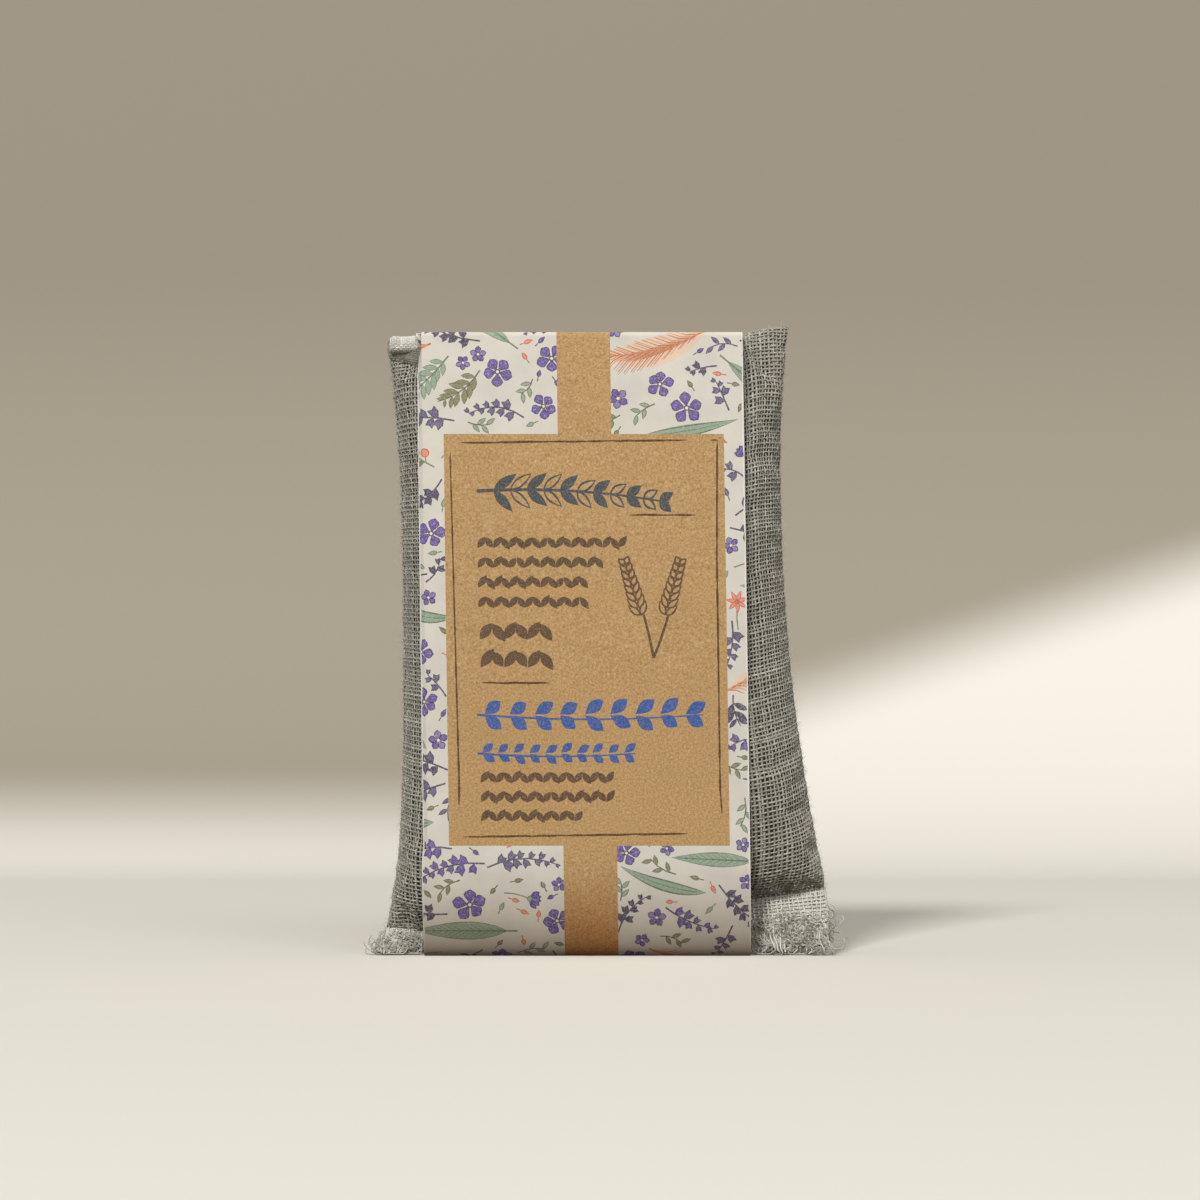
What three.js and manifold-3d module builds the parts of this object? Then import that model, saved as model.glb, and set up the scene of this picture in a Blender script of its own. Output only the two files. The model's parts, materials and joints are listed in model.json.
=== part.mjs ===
import * as THREE from "three";
import { mergeVertices } from "three/addons/utils/BufferGeometryUtils.js";
import Module from "manifold-3d";

// Lavender sachet: two gauze panels sewn into a pillow bag, filled with dried flowers, in a card
// belly band whose ends are lapped and glued at the back. Millimetres, +Z up, front towards -Y.
// The origin is the middle of the band's flat bottom, which the sachet stands on.

// Card band
const bandWidth = 63;
const bandHeight = 120.2;
const bandTopDepth = 18;
const bandBellyDepth = 26;
const bandBaseDepth = 12;
const bellyHeight = 46; // the band is deepest from here down to the lower bend
const lowerBendHeight = 22; // the card curves under from here to its flat base
const creaseRadius = 0.9;
const cardThickness = 0.4;
const bandLeanDegrees = 0.8; // the strip is wound a little off square

// Glued lap at the back of the band
const lapLength = 14;
const lapMiddleHeight = 35;
const joggleLength = 3;
const glueThickness = 0.12;
const glueHeight = 8;
const glueEndMargin = 6;

// Gauze bag, with reaches measured from the middle of the band
const leftWaistReach = 35.1;
const leftEarReach = 38.1;
const leftFootReach = 38.3;
const rightWaistReach = 38.4;
const rightEarReach = 40.2;
const rightFootReach = 47.1;
const rightEarRise = 2.5; // the ear stands up beside the band
const leftSeamHeight = 5.1;
const middleSeamHeight = 3.6;
const rightSeamHeight = 12.9;
const flangeSpread = 1.6; // the raw edges fan out past the foot
const gauzeThickness = 0.5;
const seamAllowance = 4.5; // turned inside at the sides and the top

// Thread and needle holes
const threadDiameter = 0.4;
const closingStitch = 3.6;
const turnedStitch = 7;
const closingSeamDrop = 1.4; // below the seam line, in the flange
const turnedSeamInset = 3; // inside the seam line, in the turned allowances
const needleHoleRadius = 0.62;

// Clearances
const bandClearance = 0.5; // between the bag and the card, so that the band slides off
const panelGap = 0.3; // between the two panels where they are sewn
const threadGap = 0.3;
const fillGap = 0.35;
const cutOverrun = 2;

// Shares and powers of the bag's form
const leftWaistShare = 0.45;
const rightWaistShare = 0.75;
const leftEarPower = 2.8;
const leftFootPower = 4;
const rightEarPower = 3;
const rightFootPower = 2;
const earRisePower = 1.5;
const seamSagPower = 0.6;
const acrossPower = 6;
const topPower = 4;
const bottomPower = 8;

// Mesh counts
const panelColumns = 18;
const panelRows = 24;
const profileSteps = 10;
const creaseSteps = 4;
const threadSides = 5;
const holeSides = 4;

const wasm = await Module();
wasm.setup();

const { lerp } = THREE.MathUtils;
const bandTopInside = bandHeight - cardThickness - bandClearance;
const flangeBottom = cardThickness + bandClearance;
const threadReach = panelGap / 2 + gauzeThickness + threadGap + threadDiameter / 2;

// Solids: booleans and meshes

function solidOf(geometry) {
  const bare = geometry.clone();
  bare.deleteAttribute("normal");
  bare.deleteAttribute("uv");
  const merged = mergeVertices(bare, 1e-4);
  return new wasm.Manifold(
    new wasm.Mesh({
      numProp: 3,
      vertProperties: merged.attributes.position.array,
      triVerts: new Uint32Array(merged.index.array),
    }),
  );
}

function geometryOf(solid) {
  const mesh = solid.getMesh();
  const geometry = new THREE.BufferGeometry();
  geometry.setAttribute("position", new THREE.BufferAttribute(mesh.vertProperties, 3));
  geometry.setIndex(new THREE.BufferAttribute(mesh.triVerts, 1));
  geometry.computeVertexNormals();
  return geometry;
}

function meshOf(name, geometry, color, roughness) {
  const mesh = new THREE.Mesh(geometry, new THREE.MeshStandardMaterial({ color, roughness, metalness: 0 }));
  mesh.name = name;
  return mesh;
}

function mirroredFrontToBack(geometry) {
  const mirrored = geometry.clone().applyMatrix4(new THREE.Matrix4().makeScale(1, -1, 1));
  const corners = mirrored.index.array;
  for (let i = 0; i < corners.length; i += 3) {
    [corners[i + 1], corners[i + 2]] = [corners[i + 2], corners[i + 1]];
  }
  return mirrored;
}

// Card band

// Half of the band's outer depth at a height: it swells to the belly and curves under to the base.
function bandHalfDepth(height) {
  const belly = bandBellyDepth / 2;
  if (height > bellyHeight) {
    const rise = (height - bellyHeight) / (bandHeight - creaseRadius - bellyHeight);
    return belly - (belly - bandTopDepth / 2) * rise ** 2;
  }
  if (height < lowerBendHeight) {
    const drop = (lowerBendHeight - height) / lowerBendHeight;
    return bandBaseDepth / 2 + (belly - bandBaseDepth / 2) * Math.sqrt(1 - drop ** 2);
  }
  return belly;
}

// One side of the band's outer face from the lower bend's foot up to the top crease.
function bandSide() {
  const side = [];
  for (let i = 0; i < profileSteps; i++) {
    const height = lowerBendHeight * (1 - Math.cos((i / profileSteps) * (Math.PI / 2)));
    side.push(new THREE.Vector2(bandHalfDepth(height), height));
  }
  side.push(new THREE.Vector2(bandHalfDepth(lowerBendHeight), lowerBendHeight));
  for (let i = 0; i < profileSteps; i++) {
    const height = lerp(bellyHeight, bandHeight - creaseRadius, i / profileSteps);
    side.push(new THREE.Vector2(bandHalfDepth(height), height));
  }
  for (let i = 0; i <= creaseSteps; i++) {
    const angle = (i / creaseSteps) * (Math.PI / 2);
    const middle = bandTopDepth / 2 - creaseRadius;
    side.push(
      new THREE.Vector2(
        middle + creaseRadius * Math.cos(angle),
        bandHeight - creaseRadius + creaseRadius * Math.sin(angle),
      ),
    );
  }
  return side;
}

// The card's outer face from its inner end at the back, over the top, down the front, under the
// base and up the back again, where its last stretch steps out over the first.
function bandOuterFace() {
  const lapStart = lapMiddleHeight - lapLength / 2;
  const lapEnd = lapMiddleHeight + lapLength / 2;
  const stepOut = cardThickness + glueThickness;
  const side = bandSide();
  const backUp = side.filter((point) => point.y > lapStart);
  const frontDown = side.map((point) => new THREE.Vector2(-point.x, point.y)).reverse();
  const backFoot = side.filter((point) => point.y <= lowerBendHeight);
  const back = bandBellyDepth / 2;
  return [
    new THREE.Vector2(bandHalfDepth(lapStart), lapStart),
    ...backUp,
    ...frontDown,
    ...backFoot,
    new THREE.Vector2(back, lapStart - bandClearance - joggleLength),
    new THREE.Vector2(back + stepOut, lapStart - bandClearance),
    new THREE.Vector2(back + stepOut, lapEnd),
  ];
}

// A strip of even thickness whose left side, seen along the line, is the line itself.
function stripShape(line, thickness) {
  const inner = line.map((point, i) => {
    const into = point.clone().sub(line[Math.max(i - 1, 0)]).normalize();
    const out = line[Math.min(i + 1, line.length - 1)].clone().sub(point).normalize();
    const along = into.add(out).normalize();
    const across = new THREE.Vector2(-along.y, along.x);
    const edge = i > 0 ? point.clone().sub(line[i - 1]) : line[1].clone().sub(point);
    const miter = Math.abs(edge.normalize().dot(along));
    return point.clone().addScaledVector(across, thickness / miter);
  });
  return new THREE.Shape([...line, ...inner.reverse()]);
}

function leanOf(geometry) {
  const lean = Math.tan(THREE.MathUtils.degToRad(bandLeanDegrees));
  const shear = new THREE.Matrix4().set(1, 0, -lean, (lean * bandHeight) / 2, 0, 1, 0, 0, 0, 0, 1, 0, 0, 0, 0, 1);
  return geometry.applyMatrix4(shear);
}

function bandGeometry() {
  const strip = stripShape(bandOuterFace(), cardThickness);
  const geometry = new THREE.ExtrudeGeometry(strip, { depth: bandWidth, bevelEnabled: false });
  const acrossTheBag = new THREE.Matrix4().makeBasis(
    new THREE.Vector3(0, 1, 0),
    new THREE.Vector3(0, 0, 1),
    new THREE.Vector3(1, 0, 0),
  );
  geometry.applyMatrix4(acrossTheBag).translate(-bandWidth / 2, 0, 0);
  return leanOf(geometry);
}

function glueGeometry() {
  const geometry = new THREE.BoxGeometry(bandWidth - 2 * glueEndMargin, glueThickness, glueHeight);
  geometry.translate(0, (bandBellyDepth + glueThickness) / 2, lapMiddleHeight);
  return leanOf(geometry);
}

// Gauze bag

// How far an edge of the bag reaches at a share of its height: drawn in at the waist.
function edgeReach(heightShare, waistShare, waist, ear, foot, earPower, footPower) {
  if (heightShare > waistShare) {
    return waist + (ear - waist) * ((heightShare - waistShare) / (1 - waistShare)) ** earPower;
  }
  return waist + (foot - waist) * ((waistShare - heightShare) / waistShare) ** footPower;
}

function leftEdge(heightShare) {
  return -edgeReach(
    heightShare,
    leftWaistShare,
    leftWaistReach,
    leftEarReach,
    leftFootReach,
    leftEarPower,
    leftFootPower,
  );
}

function rightEdge(heightShare) {
  return edgeReach(
    heightShare,
    rightWaistShare,
    rightWaistReach,
    rightEarReach,
    rightFootReach,
    rightEarPower,
    rightFootPower,
  );
}

function topSeam(x) {
  const pastBand = Math.max(0, (x - bandWidth / 2) / (rightEarReach - bandWidth / 2));
  return bandTopInside + rightEarRise * pastBand ** earRisePower;
}

function bottomSeam(across) {
  const end = across < 0 ? leftSeamHeight : rightSeamHeight;
  return middleSeamHeight + (end - middleSeamHeight) * Math.abs(across) ** seamSagPower;
}

// Shares up and across the panel, with steps that close up towards the edges.
function upShare(step) {
  return (1 - Math.cos((step / panelRows) * Math.PI)) / 2;
}

function acrossShare(step) {
  return Math.sin((step / panelColumns - 1 / 2) * Math.PI);
}

// A point of the seam plane: across runs from -1 at the left edge to 1 at the right, up from 0 at
// the closing seam to 1 at the top, and inset draws the whole outline in.
function seamPlanePoint(across, up, inset) {
  const x = lerp(leftEdge(up) + inset, rightEdge(up) - inset, (across + 1) / 2);
  const top = topSeam(lerp(leftEdge(1), rightEdge(1), (across + 1) / 2)) - inset;
  return new THREE.Vector2(x, lerp(bottomSeam(across) + inset, top, up));
}

// How deep the pillow is on each side of the seam plane.
function pillowDepth(across, up, height, inset) {
  const fit = bandHalfDepth(Math.min(height, bandHeight)) - cardThickness - bandClearance - panelGap / 2;
  const rise = 2 * up - 1;
  const upward = Math.sqrt(1 - Math.abs(rise) ** (rise > 0 ? topPower : bottomPower));
  const sideways = Math.sqrt(1 - Math.abs(across) ** acrossPower);
  return (fit - inset) * upward * sideways;
}

// The pillow's front face as rows of points.
function pillowRows(inset, seamPlane) {
  const rows = [];
  for (let j = 0; j <= panelRows; j++) {
    const up = upShare(j);
    const row = [];
    for (let i = 0; i <= panelColumns; i++) {
      const across = acrossShare(i);
      const flat = seamPlanePoint(across, up, inset);
      row.push(new THREE.Vector3(flat.x, -seamPlane - pillowDepth(across, up, flat.y, inset), flat.y));
    }
    rows.push(row);
  }
  return rows;
}

// Triangles that join a grid's rows; turned faces the other way.
function gridTriangles(rows, turned) {
  const corners = [];
  for (let j = 0; j + 1 < rows.length; j++) {
    for (let i = 0; i + 1 < rows[j].length; i++) {
      const [a, b, c, d] = [rows[j][i], rows[j][i + 1], rows[j + 1][i + 1], rows[j + 1][i]];
      corners.push(...(turned ? [a, c, b, a, d, c] : [a, b, c, a, c, d]));
    }
  }
  return corners;
}

function rimOf(rows) {
  const last = rows.length - 1;
  return [
    ...rows[0],
    ...rows.slice(1, last).map((row) => row[row.length - 1]),
    ...rows[last].slice().reverse(),
    ...rows
      .slice(1, last)
      .reverse()
      .map((row) => row[0]),
    rows[0][0],
  ];
}

// The panel's bulged wall, open at the seam plane.
function pillowShell() {
  const outer = pillowRows(0, panelGap / 2);
  const inner = pillowRows(gauzeThickness, panelGap / 2);
  const corners = [
    ...gridTriangles(outer, false),
    ...gridTriangles(inner, true),
    ...gridTriangles([rimOf(inner), rimOf(outer)], false),
  ];
  return mergeVertices(new THREE.BufferGeometry().setFromPoints(corners), 1e-4);
}

// The line of the turned seams: up the left side, along the top and down the right side.
function turnedLine(inset) {
  const line = [];
  for (let j = 0; j < panelRows; j++) line.push(seamPlanePoint(-1, upShare(j), inset));
  for (let i = 0; i < panelColumns; i++) line.push(seamPlanePoint(acrossShare(i), 1, inset));
  for (let j = panelRows; j >= 0; j--) line.push(seamPlanePoint(1, upShare(j), inset));
  return line;
}

function closingLine(inset) {
  const line = [];
  for (let i = 0; i <= panelColumns; i++) line.push(seamPlanePoint(acrossShare(i), 0, inset));
  return line;
}

// A flat piece of the seam plane, from startDepth in front of it and as thick as thickness.
function seamPlaneSlab(shape, startDepth, thickness) {
  const geometry = new THREE.ExtrudeGeometry(shape, { depth: thickness, bevelEnabled: false });
  const upright = new THREE.Matrix4().makeBasis(
    new THREE.Vector3(1, 0, 0),
    new THREE.Vector3(0, 0, 1),
    new THREE.Vector3(0, -1, 0),
  );
  return geometry.applyMatrix4(upright).translate(0, -startDepth, 0);
}

function turnedAllowance() {
  const shape = new THREE.Shape([
    ...turnedLine(gauzeThickness / 4),
    ...turnedLine(seamAllowance).reverse(),
  ]);
  return seamPlaneSlab(shape, panelGap / 2, gauzeThickness);
}

// The raw edges below the closing seam.
function flange() {
  const shape = new THREE.Shape([
    new THREE.Vector2(-leftFootReach - flangeSpread, flangeBottom),
    new THREE.Vector2(rightFootReach + flangeSpread, flangeBottom),
    ...closingLine(gauzeThickness / 2).reverse(),
  ]);
  return seamPlaneSlab(shape, panelGap / 2, gauzeThickness);
}

// Places of the needle holes along a line, one stitch apart, as near as whole stitches allow.
function needleHoles(line, stitch) {
  const curve = new THREE.CatmullRomCurve3(line.map((point) => new THREE.Vector3(point.x, 0, point.y)));
  const stitches = Math.round(curve.getLength() / stitch);
  const holes = [];
  for (let i = 1; i < stitches; i++) {
    const share = i / stitches;
    holes.push({ place: curve.getPointAt(share), along: curve.getTangentAt(share) });
  }
  return holes;
}

const closingHoles = needleHoles(closingLine(-closingSeamDrop), closingStitch);
const turnedHoles = needleHoles(turnedLine(turnedSeamInset), turnedStitch);

function panelGeometry() {
  let panel = solidOf(pillowShell()).add(solidOf(turnedAllowance())).add(solidOf(flange()));
  for (const hole of [...closingHoles, ...turnedHoles]) {
    const needle = new THREE.CylinderGeometry(
      needleHoleRadius,
      needleHoleRadius,
      2 * threadReach,
      holeSides,
    ).translate(hole.place.x, 0, hole.place.z);
    panel = panel.subtract(solidOf(needle));
  }
  return geometryOf(panel);
}

// Running stitch: the thread lies on one face, dives through a hole and lies on the other.
class RunningStitch extends THREE.Curve {
  constructor(holes) {
    super();
    this.points = [];
    holes.forEach(({ place, along }, i) => {
      const side = i % 2 ? -1 : 1;
      const bend = threadDiameter / 2;
      const turns = [
        [-bend * 2, side],
        [-bend / 2, side * (1 - bend / threadReach)],
        [bend / 2, -side * (1 - bend / threadReach)],
        [bend * 2, -side],
      ];
      for (const [forward, depthShare] of turns) {
        const point = place.clone().addScaledVector(along, forward);
        this.points.push(point.setY(depthShare * threadReach));
      }
    });
  }

  getPoint(share) {
    const at = share * (this.points.length - 1);
    const before = Math.min(Math.floor(at), this.points.length - 2);
    return this.points[before].clone().lerp(this.points[before + 1], at - before);
  }

  getPointAt(share) {
    return this.getPoint(share);
  }

  getTangentAt(share) {
    const nearby = 1 / 4 / this.points.length;
    const before = this.getPoint(Math.max(0, share - nearby));
    return this.getPoint(Math.min(1, share + nearby)).sub(before).normalize();
  }
}

function threadGeometry(holes) {
  const stitches = new RunningStitch(holes);
  const section = new THREE.Shape();
  for (let i = 0; i < threadSides; i++) {
    const angle = (i / threadSides) * 2 * Math.PI;
    const corner = [(threadDiameter / 2) * Math.cos(angle), (threadDiameter / 2) * Math.sin(angle)];
    if (i) section.lineTo(...corner);
    else section.moveTo(...corner);
  }
  return new THREE.ExtrudeGeometry(section, {
    steps: stitches.points.length - 1,
    extrudePath: stitches,
    bevelEnabled: false,
  });
}

// Filling: fills the pillow, with a groove where the turned allowances lie between the flowers.
function fillingGeometry() {
  const front = pillowRows(gauzeThickness + fillGap, 0);
  const back = front.map((row) => row.map((point) => new THREE.Vector3(point.x, -point.y, point.z)));
  const whole = new THREE.BufferGeometry().setFromPoints([
    ...gridTriangles(front, false),
    ...gridTriangles(back, true),
  ]);
  const grooveDepth = threadReach + threadDiameter / 2 + fillGap;
  const around = new THREE.Shape([
    ...turnedLine(-cutOverrun),
    ...turnedLine(seamAllowance + fillGap).reverse(),
  ]);
  const groove = seamPlaneSlab(around, -grooveDepth, 2 * grooveDepth);
  return geometryOf(solidOf(mergeVertices(whole, 1e-4)).subtract(solidOf(groove)));
}

const gauzeColor = 0xb3b3a8;
const cardColor = 0xe1dcd4;
const gauzeRoughness = 0.95;
const front = panelGeometry();

const bag = new THREE.Group();
bag.add(meshOf("front_panel", front, gauzeColor, gauzeRoughness));
bag.add(meshOf("back_panel", mirroredFrontToBack(front), gauzeColor, gauzeRoughness));
bag.add(meshOf("lavender_filling", fillingGeometry(), 0x5f5a55, 1));
bag.add(meshOf("turned_seam_thread", threadGeometry(turnedHoles), 0xc4c4ba, 0.8));
bag.add(meshOf("closing_seam_thread", threadGeometry(closingHoles), 0xc4c4ba, 0.8));

const band = new THREE.Group();
band.add(meshOf("paper_band", bandGeometry(), cardColor, 0.85));
band.add(meshOf("band_glue", glueGeometry(), 0xece6cf, 0.5));

const sachet = new THREE.Group();
sachet.add(bag, band);
export default sachet;
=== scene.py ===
import json
import math

import bpy
import numpy as np
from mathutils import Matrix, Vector, geometry, noise

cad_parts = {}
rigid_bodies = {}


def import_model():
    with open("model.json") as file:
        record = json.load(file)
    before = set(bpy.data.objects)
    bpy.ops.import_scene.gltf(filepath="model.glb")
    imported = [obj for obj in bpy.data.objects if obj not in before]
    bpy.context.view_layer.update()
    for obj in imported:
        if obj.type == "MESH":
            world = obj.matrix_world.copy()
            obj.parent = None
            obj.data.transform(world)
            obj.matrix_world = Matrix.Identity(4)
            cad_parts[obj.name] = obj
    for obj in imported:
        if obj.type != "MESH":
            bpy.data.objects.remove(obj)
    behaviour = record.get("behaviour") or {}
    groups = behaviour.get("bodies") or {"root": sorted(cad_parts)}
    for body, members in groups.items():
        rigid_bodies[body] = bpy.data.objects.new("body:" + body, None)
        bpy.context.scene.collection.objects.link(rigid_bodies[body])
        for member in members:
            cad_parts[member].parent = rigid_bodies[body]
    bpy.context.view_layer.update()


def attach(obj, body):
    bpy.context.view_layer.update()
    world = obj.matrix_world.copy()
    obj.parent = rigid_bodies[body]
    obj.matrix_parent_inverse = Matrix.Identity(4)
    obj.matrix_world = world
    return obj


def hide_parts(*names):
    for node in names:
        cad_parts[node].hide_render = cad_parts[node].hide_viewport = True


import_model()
bpy.ops.object.select_all(action="DESELECT")

mm = 0.001  # everything below is in millimetres until it becomes a mesh

# Sizes of the CAD model, and three of the looks' own

bandSizes = {
    "width": 63,
    "height": 120.2,
    "topDepth": 18,
    "bellyDepth": 26,
    "baseDepth": 12,
    "bellyHeight": 46,
    "lowerBend": 22,
    "crease": 0.9,
    "card": 0.4,
    "lean": math.tan(math.radians(0.8)),
    "clearance": 0.5,
    "lapStart": 28,
    "lapEnd": 42,
    "joggleStart": 24.5,
    "joggleEnd": 27.5,
    "stepOut": 0.52,
}

bagSizes = {
    "left": {"waist": 35.1, "ear": 38.1, "foot": 38.3, "waistShare": 0.45, "earPower": 2.8, "footPower": 4},
    "right": {"waist": 38.4, "ear": 40.2, "foot": 47.1, "waistShare": 0.75, "earPower": 3, "footPower": 2},
    "bandEnd": 30.9,  # the looks' own: just past the leaning band's right edge at its top
    "earRise": 2.5,
    "earRisePower": 0.45,  # the looks' own
    "seamLeft": 5.1,
    "seamMiddle": 3.6,
    "seamRight": 12.9,
    "seamPower": 0.6,
    "flangeSpread": 1.6,
    "acrossPower": 6,
    "topPower": 4,
    "bottomPower": 5,  # the looks' own
    "allowance": 4.5,
}


# Small tools for meshes, nodes and colours

def linear(hexCode):
    parts = [int(hexCode[i:i + 2], 16) / 255 for i in (1, 3, 5)]
    return [c / 12.92 if c <= 0.04045 else ((c + 0.055) / 1.055) ** 2.4 for c in parts] + [1]


def addMesh(name, points, faces, materials, smooth=True):
    mesh = bpy.data.meshes.new(name)
    points = np.asarray(points, np.float64).reshape(-1, 3) * mm
    faces = np.asarray(faces, np.int32)
    mesh.vertices.add(len(points))
    mesh.vertices.foreach_set("co", points.astype(np.float32).ravel())
    mesh.loops.add(faces.size)
    mesh.loops.foreach_set("vertex_index", faces.ravel())
    mesh.polygons.add(len(faces))
    mesh.polygons.foreach_set("loop_start", np.arange(0, faces.size, faces.shape[1], dtype=np.int32))
    mesh.polygons.foreach_set("use_smooth", np.full(len(faces), smooth))
    mesh.update(calc_edges=True)
    for material in materials:
        mesh.materials.append(material)
    piece = bpy.data.objects.new(name, mesh)
    bpy.context.scene.collection.objects.link(piece)
    return piece


def addValues(piece, name, values, kind="FLOAT", domain="POINT"):
    layer = piece.data.attributes.new(name, kind, domain)
    field = "value" if kind == "FLOAT" else "color"
    layer.data.foreach_set(field, np.asarray(values, np.float32).ravel())


def newMaterial(name, surface):
    material = bpy.data.materials.new(name)
    material.use_nodes = True
    tree = material.node_tree
    shader = tree.nodes["Principled BSDF"]
    for socket, value in surface.items():
        shader.inputs[socket].default_value = value
    return material, tree, shader, addNode(tree, "TexCoord").outputs["Object"]


def addNode(tree, kind, links=(), values=(), **settings):
    node = tree.nodes.new("ShaderNode" + kind)
    for key, value in settings.items():
        setattr(node, key, value)
    for socket, value in dict(values).items():
        node.inputs[socket].default_value = value
    for socket, source in dict(links).items():
        tree.links.new(source, node.inputs[socket])
    return node


def setRamp(node, *stops):
    ramp = node.color_ramp
    while len(ramp.elements) < len(stops):
        ramp.elements.new(0.5)
    for element, (place, hexCode) in zip(ramp.elements, stops):
        element.position = place
        element.color = linear(hexCode)


def perMillimetre(size):
    return 1 / (size * mm)  # a noise scale whose features are about this many millimetres wide


# Camera, light and floor

stageSettings = {
    "lens": 150,
    "sensor": 36,
    "frameWidth": 230,
    "frontFace": -12.8,
    "cameraX": 3.26,
    "cameraZ": 68.6,
    "floorEnd": 260,
    "wallRadius": 160,
    "sweepSteps": 24,
    "wallHeight": 900,
    "halfWidth": 1400,
    "front": -1500,
    "floorColour": "#EFEBE0",
    # painted shadow: the backdrop above a line that climbs to the right takes this shaded colour
    "wallShadeColour": "#A49B8B",
    "shadeHeight": 26,
    "shadeSlope": 0.33,  # the wall's shade climbs to the right
    "shadeStart": -30,
    "bounceColour": "#6A645A",  # what the backdrop throws back on the object
    "lamps": {
        "key": {"place": (-1520, -4160, 3650), "size": 1000, "power": 204},
        "window": {"place": (-2300, -240, 600), "size": 220, "power": 1.5},
        "fill": {"place": (1800, -4600, 3750), "size": 5200, "power": 136},
    },
    "backLamp": {"place": (150, 2100, 1100), "size": 2600, "power": 44},
    "aimHeight": 60,
    "skyColour": "#FFFDF8",
    "skyStrength": 0.33,
}


def addLamp(name, facts):
    spot = Vector(facts["place"]) * mm
    bpy.ops.object.light_add(type="AREA", location=spot)
    lamp = bpy.context.object
    lamp.name = name + " light"
    lamp.data.size = facts["size"] * mm
    lamp.data.energy = facts["power"]
    aim = Vector((0, 0, stageSettings["aimHeight"] * mm)) - spot
    lamp.rotation_euler = aim.to_track_quat("-Z", "Y").to_euler()
    return lamp


def addCamera(s):
    distance = s["lens"] / s["sensor"] * s["frameWidth"]
    place = Vector((s["cameraX"], s["frontFace"] - distance, s["cameraZ"])) * mm
    bpy.ops.object.camera_add(location=place, rotation=(math.pi / 2, 0, 0))
    camera = bpy.context.object
    camera.data.lens = s["lens"]
    camera.data.sensor_width = s["sensor"]
    camera.data.clip_start = 0.01
    bpy.context.scene.camera = camera


def backdropForm(s):
    # The floor lies flat to behind the wall, for the views from there; the wall sweeps up out of it
    line = [(s["front"], 0), (-s["front"], 0), (s["floorEnd"], 0)]
    for i in range(1, s["sweepSteps"] + 1):
        turn = i / s["sweepSteps"] * math.pi / 2
        away, up = s["wallRadius"] * math.sin(turn), s["wallRadius"] * (1 - math.cos(turn))
        line.append((s["floorEnd"] + away, up))
    line.append((s["floorEnd"] + s["wallRadius"], s["wallHeight"]))
    points = [(x, y, z) for y, z in line for x in (-s["halfWidth"], s["halfWidth"])]
    faces = [(2 * i, 2 * i + 1, 2 * i + 3, 2 * i + 2) for i in range(len(line) - 1) if i != 1]
    return points, faces


def addBackdropMaterial(s):
    matt = {"Roughness": 0.9, "Specular IOR Level": 0.1}
    material, tree, shader, place = newMaterial("matte backdrop paper", matt)
    # painted shadow: above a line that climbs to the right, the colour turns from the floor's to the wall's
    # shade
    split = addNode(tree, "SeparateXYZ", {0: place}).outputs
    rise = {1: s["shadeSlope"], 2: -s["shadeSlope"] * s["shadeStart"] * mm}
    slope = addNode(tree, "Math", {0: split["X"]}, rise, operation="MULTIPLY_ADD")
    slope = addNode(tree, "Math", {0: slope.outputs[0]}, {1: 0}, operation="MAXIMUM")
    height = addNode(tree, "Math", {0: split["Z"], 1: slope.outputs[0]}, operation="SUBTRACT")
    reach = {"From Max": s["shadeHeight"] * mm}
    share = addNode(tree, "MapRange", {"Value": height.outputs[0]}, reach, interpolation_type="SMOOTHSTEP")
    tone = addNode(tree, "ValToRGB", {0: share.outputs[0]})
    setRamp(tone, (0, s["floorColour"]), (1, s["wallShadeColour"]))
    rays = addNode(tree, "LightPath").outputs
    seen = addNode(tree, "Math", {0: rays["Is Camera Ray"], 1: rays["Is Glossy Ray"]}, operation="ADD")
    through = {0: seen.outputs[0], 1: rays["Is Transmission Ray"]}
    seen = addNode(tree, "Math", through, operation="ADD", use_clamp=True)
    bounce = {6: linear(s["bounceColour"])}
    shown = addNode(tree, "Mix", {0: seen.outputs[0], 7: tone.outputs[0]}, bounce, data_type="RGBA")
    tree.links.new(shown.outputs[2], shader.inputs["Base Color"])
    behind = addNode(tree, "NewGeometry").outputs["Backfacing"]
    clear = addNode(tree, "BsdfTransparent").outputs[0]
    surface = addNode(tree, "MixShader", {0: behind, 1: shader.outputs[0], 2: clear})
    tree.links.new(surface.outputs[0], tree.nodes["Material Output"].inputs["Surface"])
    return material


def addSky(s):
    world = bpy.data.worlds.new("studio")
    bpy.context.scene.world = world
    world.use_nodes = True
    sky = world.node_tree.nodes["Background"]
    sky.inputs["Color"].default_value = linear(s["skyColour"])
    sky.inputs["Strength"].default_value = s["skyStrength"]
    bpy.context.scene.view_settings.view_transform = "Standard"


def lightBack(s):  # only the sachet sees this lamp, so the floor keeps one soft shadow
    sachet = bpy.data.collections.new("sachet")
    for piece in bpy.context.scene.objects:
        if piece.type == "MESH" and piece.name != "backdrop":
            sachet.objects.link(piece)
    lamp = addLamp("back", s["backLamp"])
    lamp.light_linking.receiver_collection = sachet
    lamp.light_linking.blocker_collection = sachet


addCamera(stageSettings)
floor = addMesh("backdrop", *backdropForm(stageSettings), [addBackdropMaterial(stageSettings)])
for name, facts in stageSettings["lamps"].items():
    addLamp(name, facts)
addSky(stageSettings)
print("camera, light and floor are set")


# The card band's line, from its inner end at the back, over the top, down the front and round

cardSettings = {
    "flatStep": 4.2,
    "creaseSteps": 5,
    "bendSteps": 18,
    "bendPower": 1.3,
    "topRows": (0, 3.5, 4.6, 5.6, 6.5, 7.4),
    "edgeFold": 1.2,  # a strip of the left edge bends back
    "edgeFoldAngle": 42,
    "edgeFoldFrom": 17,
    "cornerFoldAngle": 40,  # near the top it bends further
    "cornerFoldFrom": 113,
    "foldEndDepth": 3.5,  # it flattens out on the top
    "foldReach": 4,
    "footShadeHeight": 20,  # painted shade: both prints are darker towards the foot, where the card turns under
    "footShadeOnCard": "#D3CAC1",
    "footShadeOnKraft": "#D6B9A0",
}


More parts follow.
